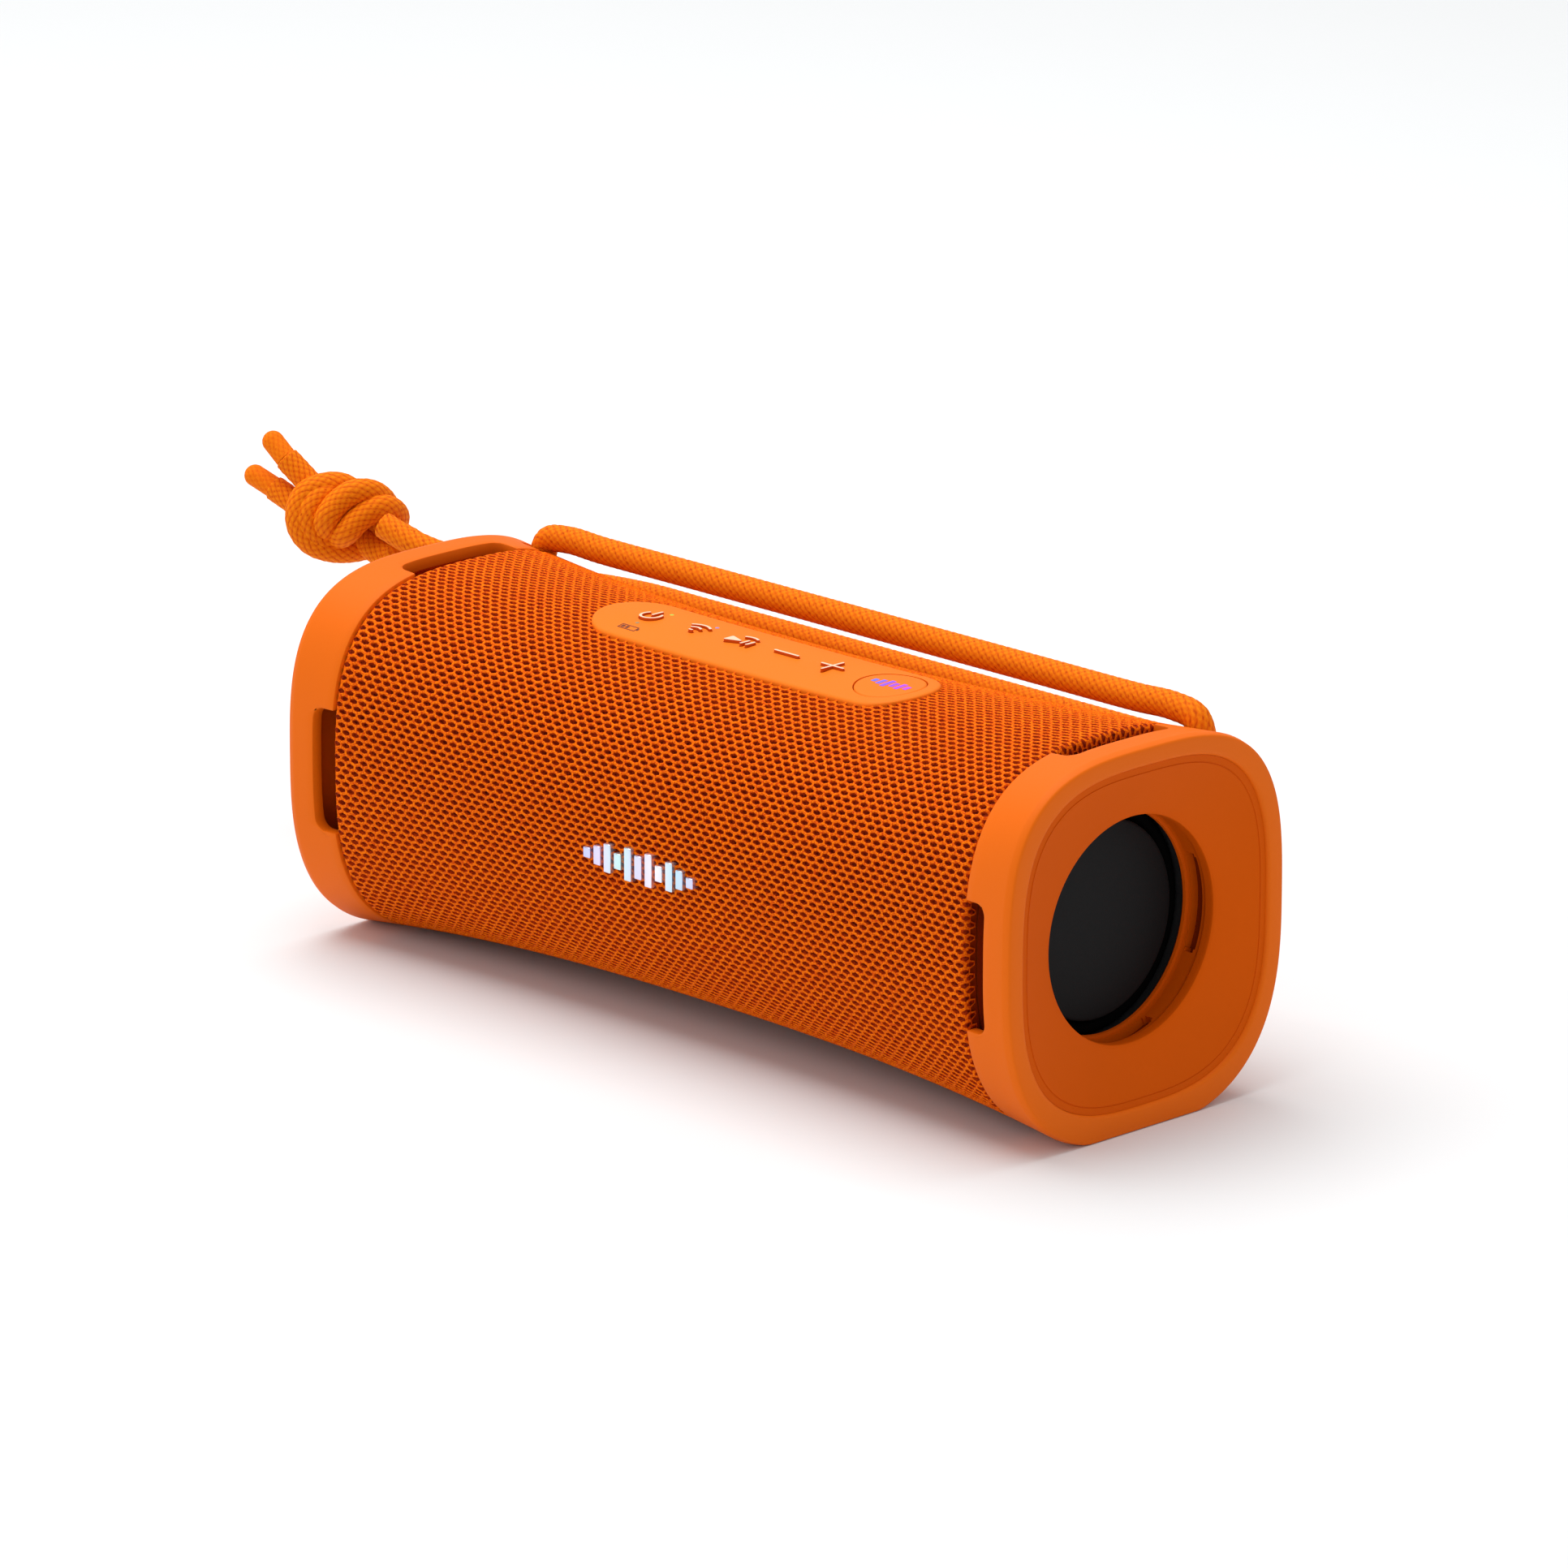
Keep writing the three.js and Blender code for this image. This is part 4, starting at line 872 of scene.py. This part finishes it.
def icon_cutters():
    for cx, strokes in ICONS.values():
        cutter = stroke_bars(strokes, cx, ICON_HALF + 0.14, 72, 78)
        apply_modifier(cutter, "REMESH", mode="VOXEL", voxel_size=0.12)
        apply_modifier(cutter, "DECIMATE", decimate_type="DISSOLVE", angle_limit=math.radians(12))
        yield cutter


def icon_keys():
    for key, (cx, strokes) in ICONS.items():
        icon = stroke_bars(strokes, cx, ICON_HALF, 73.4, ICON_TOP_Z)
        apply_modifier(icon, "REMESH", mode="VOXEL", voxel_size=0.07)
        icon.data.materials.append(ICON_SIDE_SHADE)
        icon.data.materials.append(ICON_TOP)
        # Faces turned up take the peach top; the side walls take the dark orange, painted shade.
        for face in icon.data.polygons:
            face.material_index = int(face.normal.z > 0.7)
        finish(icon, key + "_icon", key + "_key", [key + "_key"], [], smooth=40)


def printed(name, rectangles, lift, material, body):
    """Flat print that follows the top surface: a thin strip for each rectangle."""
    deselect()
    strips = []
    for x0, x1, y0, y1 in rectangles:
        bpy.ops.mesh.primitive_cube_add(
            size=1, location=((x0 + x1) / 2, (y0 + y1) / 2, 0), scale=(x1 - x0, y1 - y0, 0.08))
        strips.append(bpy.context.object)
        bpy.ops.object.mode_set(mode="EDIT")
        bpy.ops.mesh.subdivide(number_cuts=3)
        bpy.ops.object.mode_set(mode="OBJECT")
    mark = joined_up(strips)
    for v in mark.data.vertices:
        v.co.z += skin_height(v.co.x, v.co.y) + PAD_PROUD + lift
    finish(mark, name, body, [], [material])


def marks_and_lights():
    heights = (1.5, 2.6, 3.8, 2.3, 3.3, 1.8)
    bars = [(30.7 + 1.75 * i, 31.75 + 1.75 * i, -2.8 - h / 2, -2.8 + h / 2) for i, h in enumerate(heights)]
    printed("sound_mark_bars", bars, 0.01, SOUND_MARK, "sound_key")
    x, y, line = -32.1, -9.3, 0.22
    battery = [(x - 2.6, x + 2.2, y - 0.85, y - 0.85 + line), (x - 2.6, x + 2.2, y + 0.85 - line, y + 0.85),
               (x - 2.6, x - 2.6 + line, y - 0.63, y + 0.63), (x + 2.2 - line, x + 2.2, y - 0.63, y + 0.63),
               (x + 2.3, x + 2.7, y - 0.35, y + 0.35), (x - 2.1, x - 1.3, y - 0.4, y + 0.4),
               (x - 0.9, x - 0.1, y - 0.4, y + 0.4)]
    printed("charge_print", battery, 0.01, PRINT_DARK, "root")
    lights = (("power_light", -30.9, 1.35, LIGHT_GREEN), ("pairing_light", -17.8, 1.35, LIGHT_BLUE),
              ("charge_light", -32.4, -6.7, LIGHT_GREY))
    for name, lx, ly, material in lights:
        deselect()
        bpy.ops.mesh.primitive_cylinder_add(
            vertices=32, radius=0.45, depth=2, location=(lx, ly, skin_height(lx, ly) + PAD_PROUD - 0.95))
        lens = bpy.context.object
        apply_modifier(lens, "BEVEL", width=0.05, segments=2, limit_method="ANGLE")
        finish(lens, name + "_lens", "root", [name], [material])


# ---- Front badge: level meter bars that stand through the fabric ----
BADGE_HALF_HEIGHTS = (1, 1.8, 2.7, 1.5, 3.1, 2.2, 3.1, 1.5, 2.7, 1.8, 1)


def badge():
    deselect()
    bars = []
    for i, half in enumerate(BADGE_HALF_HEIGHTS):
        x = -1.4 - 14.7 + 29.4 * i / (len(BADGE_HALF_HEIGHTS) - 1)
        bpy.ops.mesh.primitive_cube_add(size=1, location=(x, -35.3, 37.3), scale=(1.95, 1.9, 2.2 * half))
        bars.append(bpy.context.object)
    joined = joined_up(bars)
    apply_modifier(joined, "BEVEL", width=0.22, segments=3, limit_method="ANGLE")
    finish(joined, "level_meter_badge", "root", ["front_badge"], [BADGE_PASTEL])


# ---- Everything together ----
ROOT = "root"
for piece in [strap] + knot_strands + tails + tips:
    piece.data.materials.append(TIP_BRAID if piece in tips else BRAID)
    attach(piece, ROOT)
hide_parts("strap_cord")
for piece in knot_strands:
    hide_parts("strap_knot")
for key, tail, tip in zip(TAIL_ROUTES, tails, tips):
    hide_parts("strap_tail_" + key)
    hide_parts("strap_tip_" + key)
[p * MM for p in strap_line]

PANEL_SEAM_ROW = 104
fabric_panel("fabric_front_panel", 0, PANEL_SEAM_ROW, ["fabric_sleeve"])
fabric_panel("fabric_rear_panel", PANEL_SEAM_ROW, ROWS, ["fabric_sleeve"])
for side, label in ((1, "right"), (-1, "left")):
    ring_piece(side, label)
    panel_piece(side, label)
    radiator_pieces(side, label)
key_mat()
sound_key()
icon_keys()
marks_and_lights()
badge()

CAD_FINISHES = {
    "cabinet_front": CABINET, "cabinet_rear": CABINET, "gasket_top": ROLL_BLACK, "gasket_bottom": ROLL_BLACK,
    "key_board": BOARD, "control_tray": DARK_PLASTIC, "woofer_frame": STEEL, "woofer_surround": ROLL_BLACK,
    "woofer_cone": DARK_PLASTIC, "woofer_magnet": STEEL, "tweeter_housing": DARK_PLASTIC, "tweeter_dome": DOME_METAL,
    "battery_cell_lower": CELL, "battery_cell_upper": CELL, "battery_cradle": DARK_PLASTIC, "main_board": BOARD,
    "charging_socket": STEEL, "port_bezel": BUMPER, "port_cover": BUMPER,
}
for label in ("left", "right"):
    CAD_FINISHES[label + "_baffle"] = CABINET
    CAD_FINISHES[label + "_radiator_frame"] = DARK_PLASTIC
    for corner in ("front_top", "front_bottom", "rear_bottom"):
        CAD_FINISHES[label + "_screw_" + corner] = STEEL
for name, material in CAD_FINISHES.items():
    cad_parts[name].material_slots[0].material = material

# Plain pale floor, soft light from all round and a broad softbox overhead.
deselect()
bpy.ops.mesh.primitive_plane_add(size=12)
floor = bpy.context.object
floor.name = "floor"
floor.data.materials.append(moulded("floor_white", (0.8, 0.81, 0.815), 0.75, grain=300, spread=0.004))
world = bpy.data.worlds.new("studio")
world.use_nodes = True
world.node_tree.nodes["Background"].inputs["Color"].default_value = (1, 1, 1, 1)
world.node_tree.nodes["Background"].inputs["Strength"].default_value = 0.58
bpy.context.scene.world = world
softbox("overhead", (-0.35, 0.0, 1.6), (0, 0, 0), 1.6, 27)
softbox("front_fill", (-0.9, -1.5, 0.9), (0, 0, 0.04), 1.0, 4)
bpy.context.scene.view_settings.view_transform = "Standard"
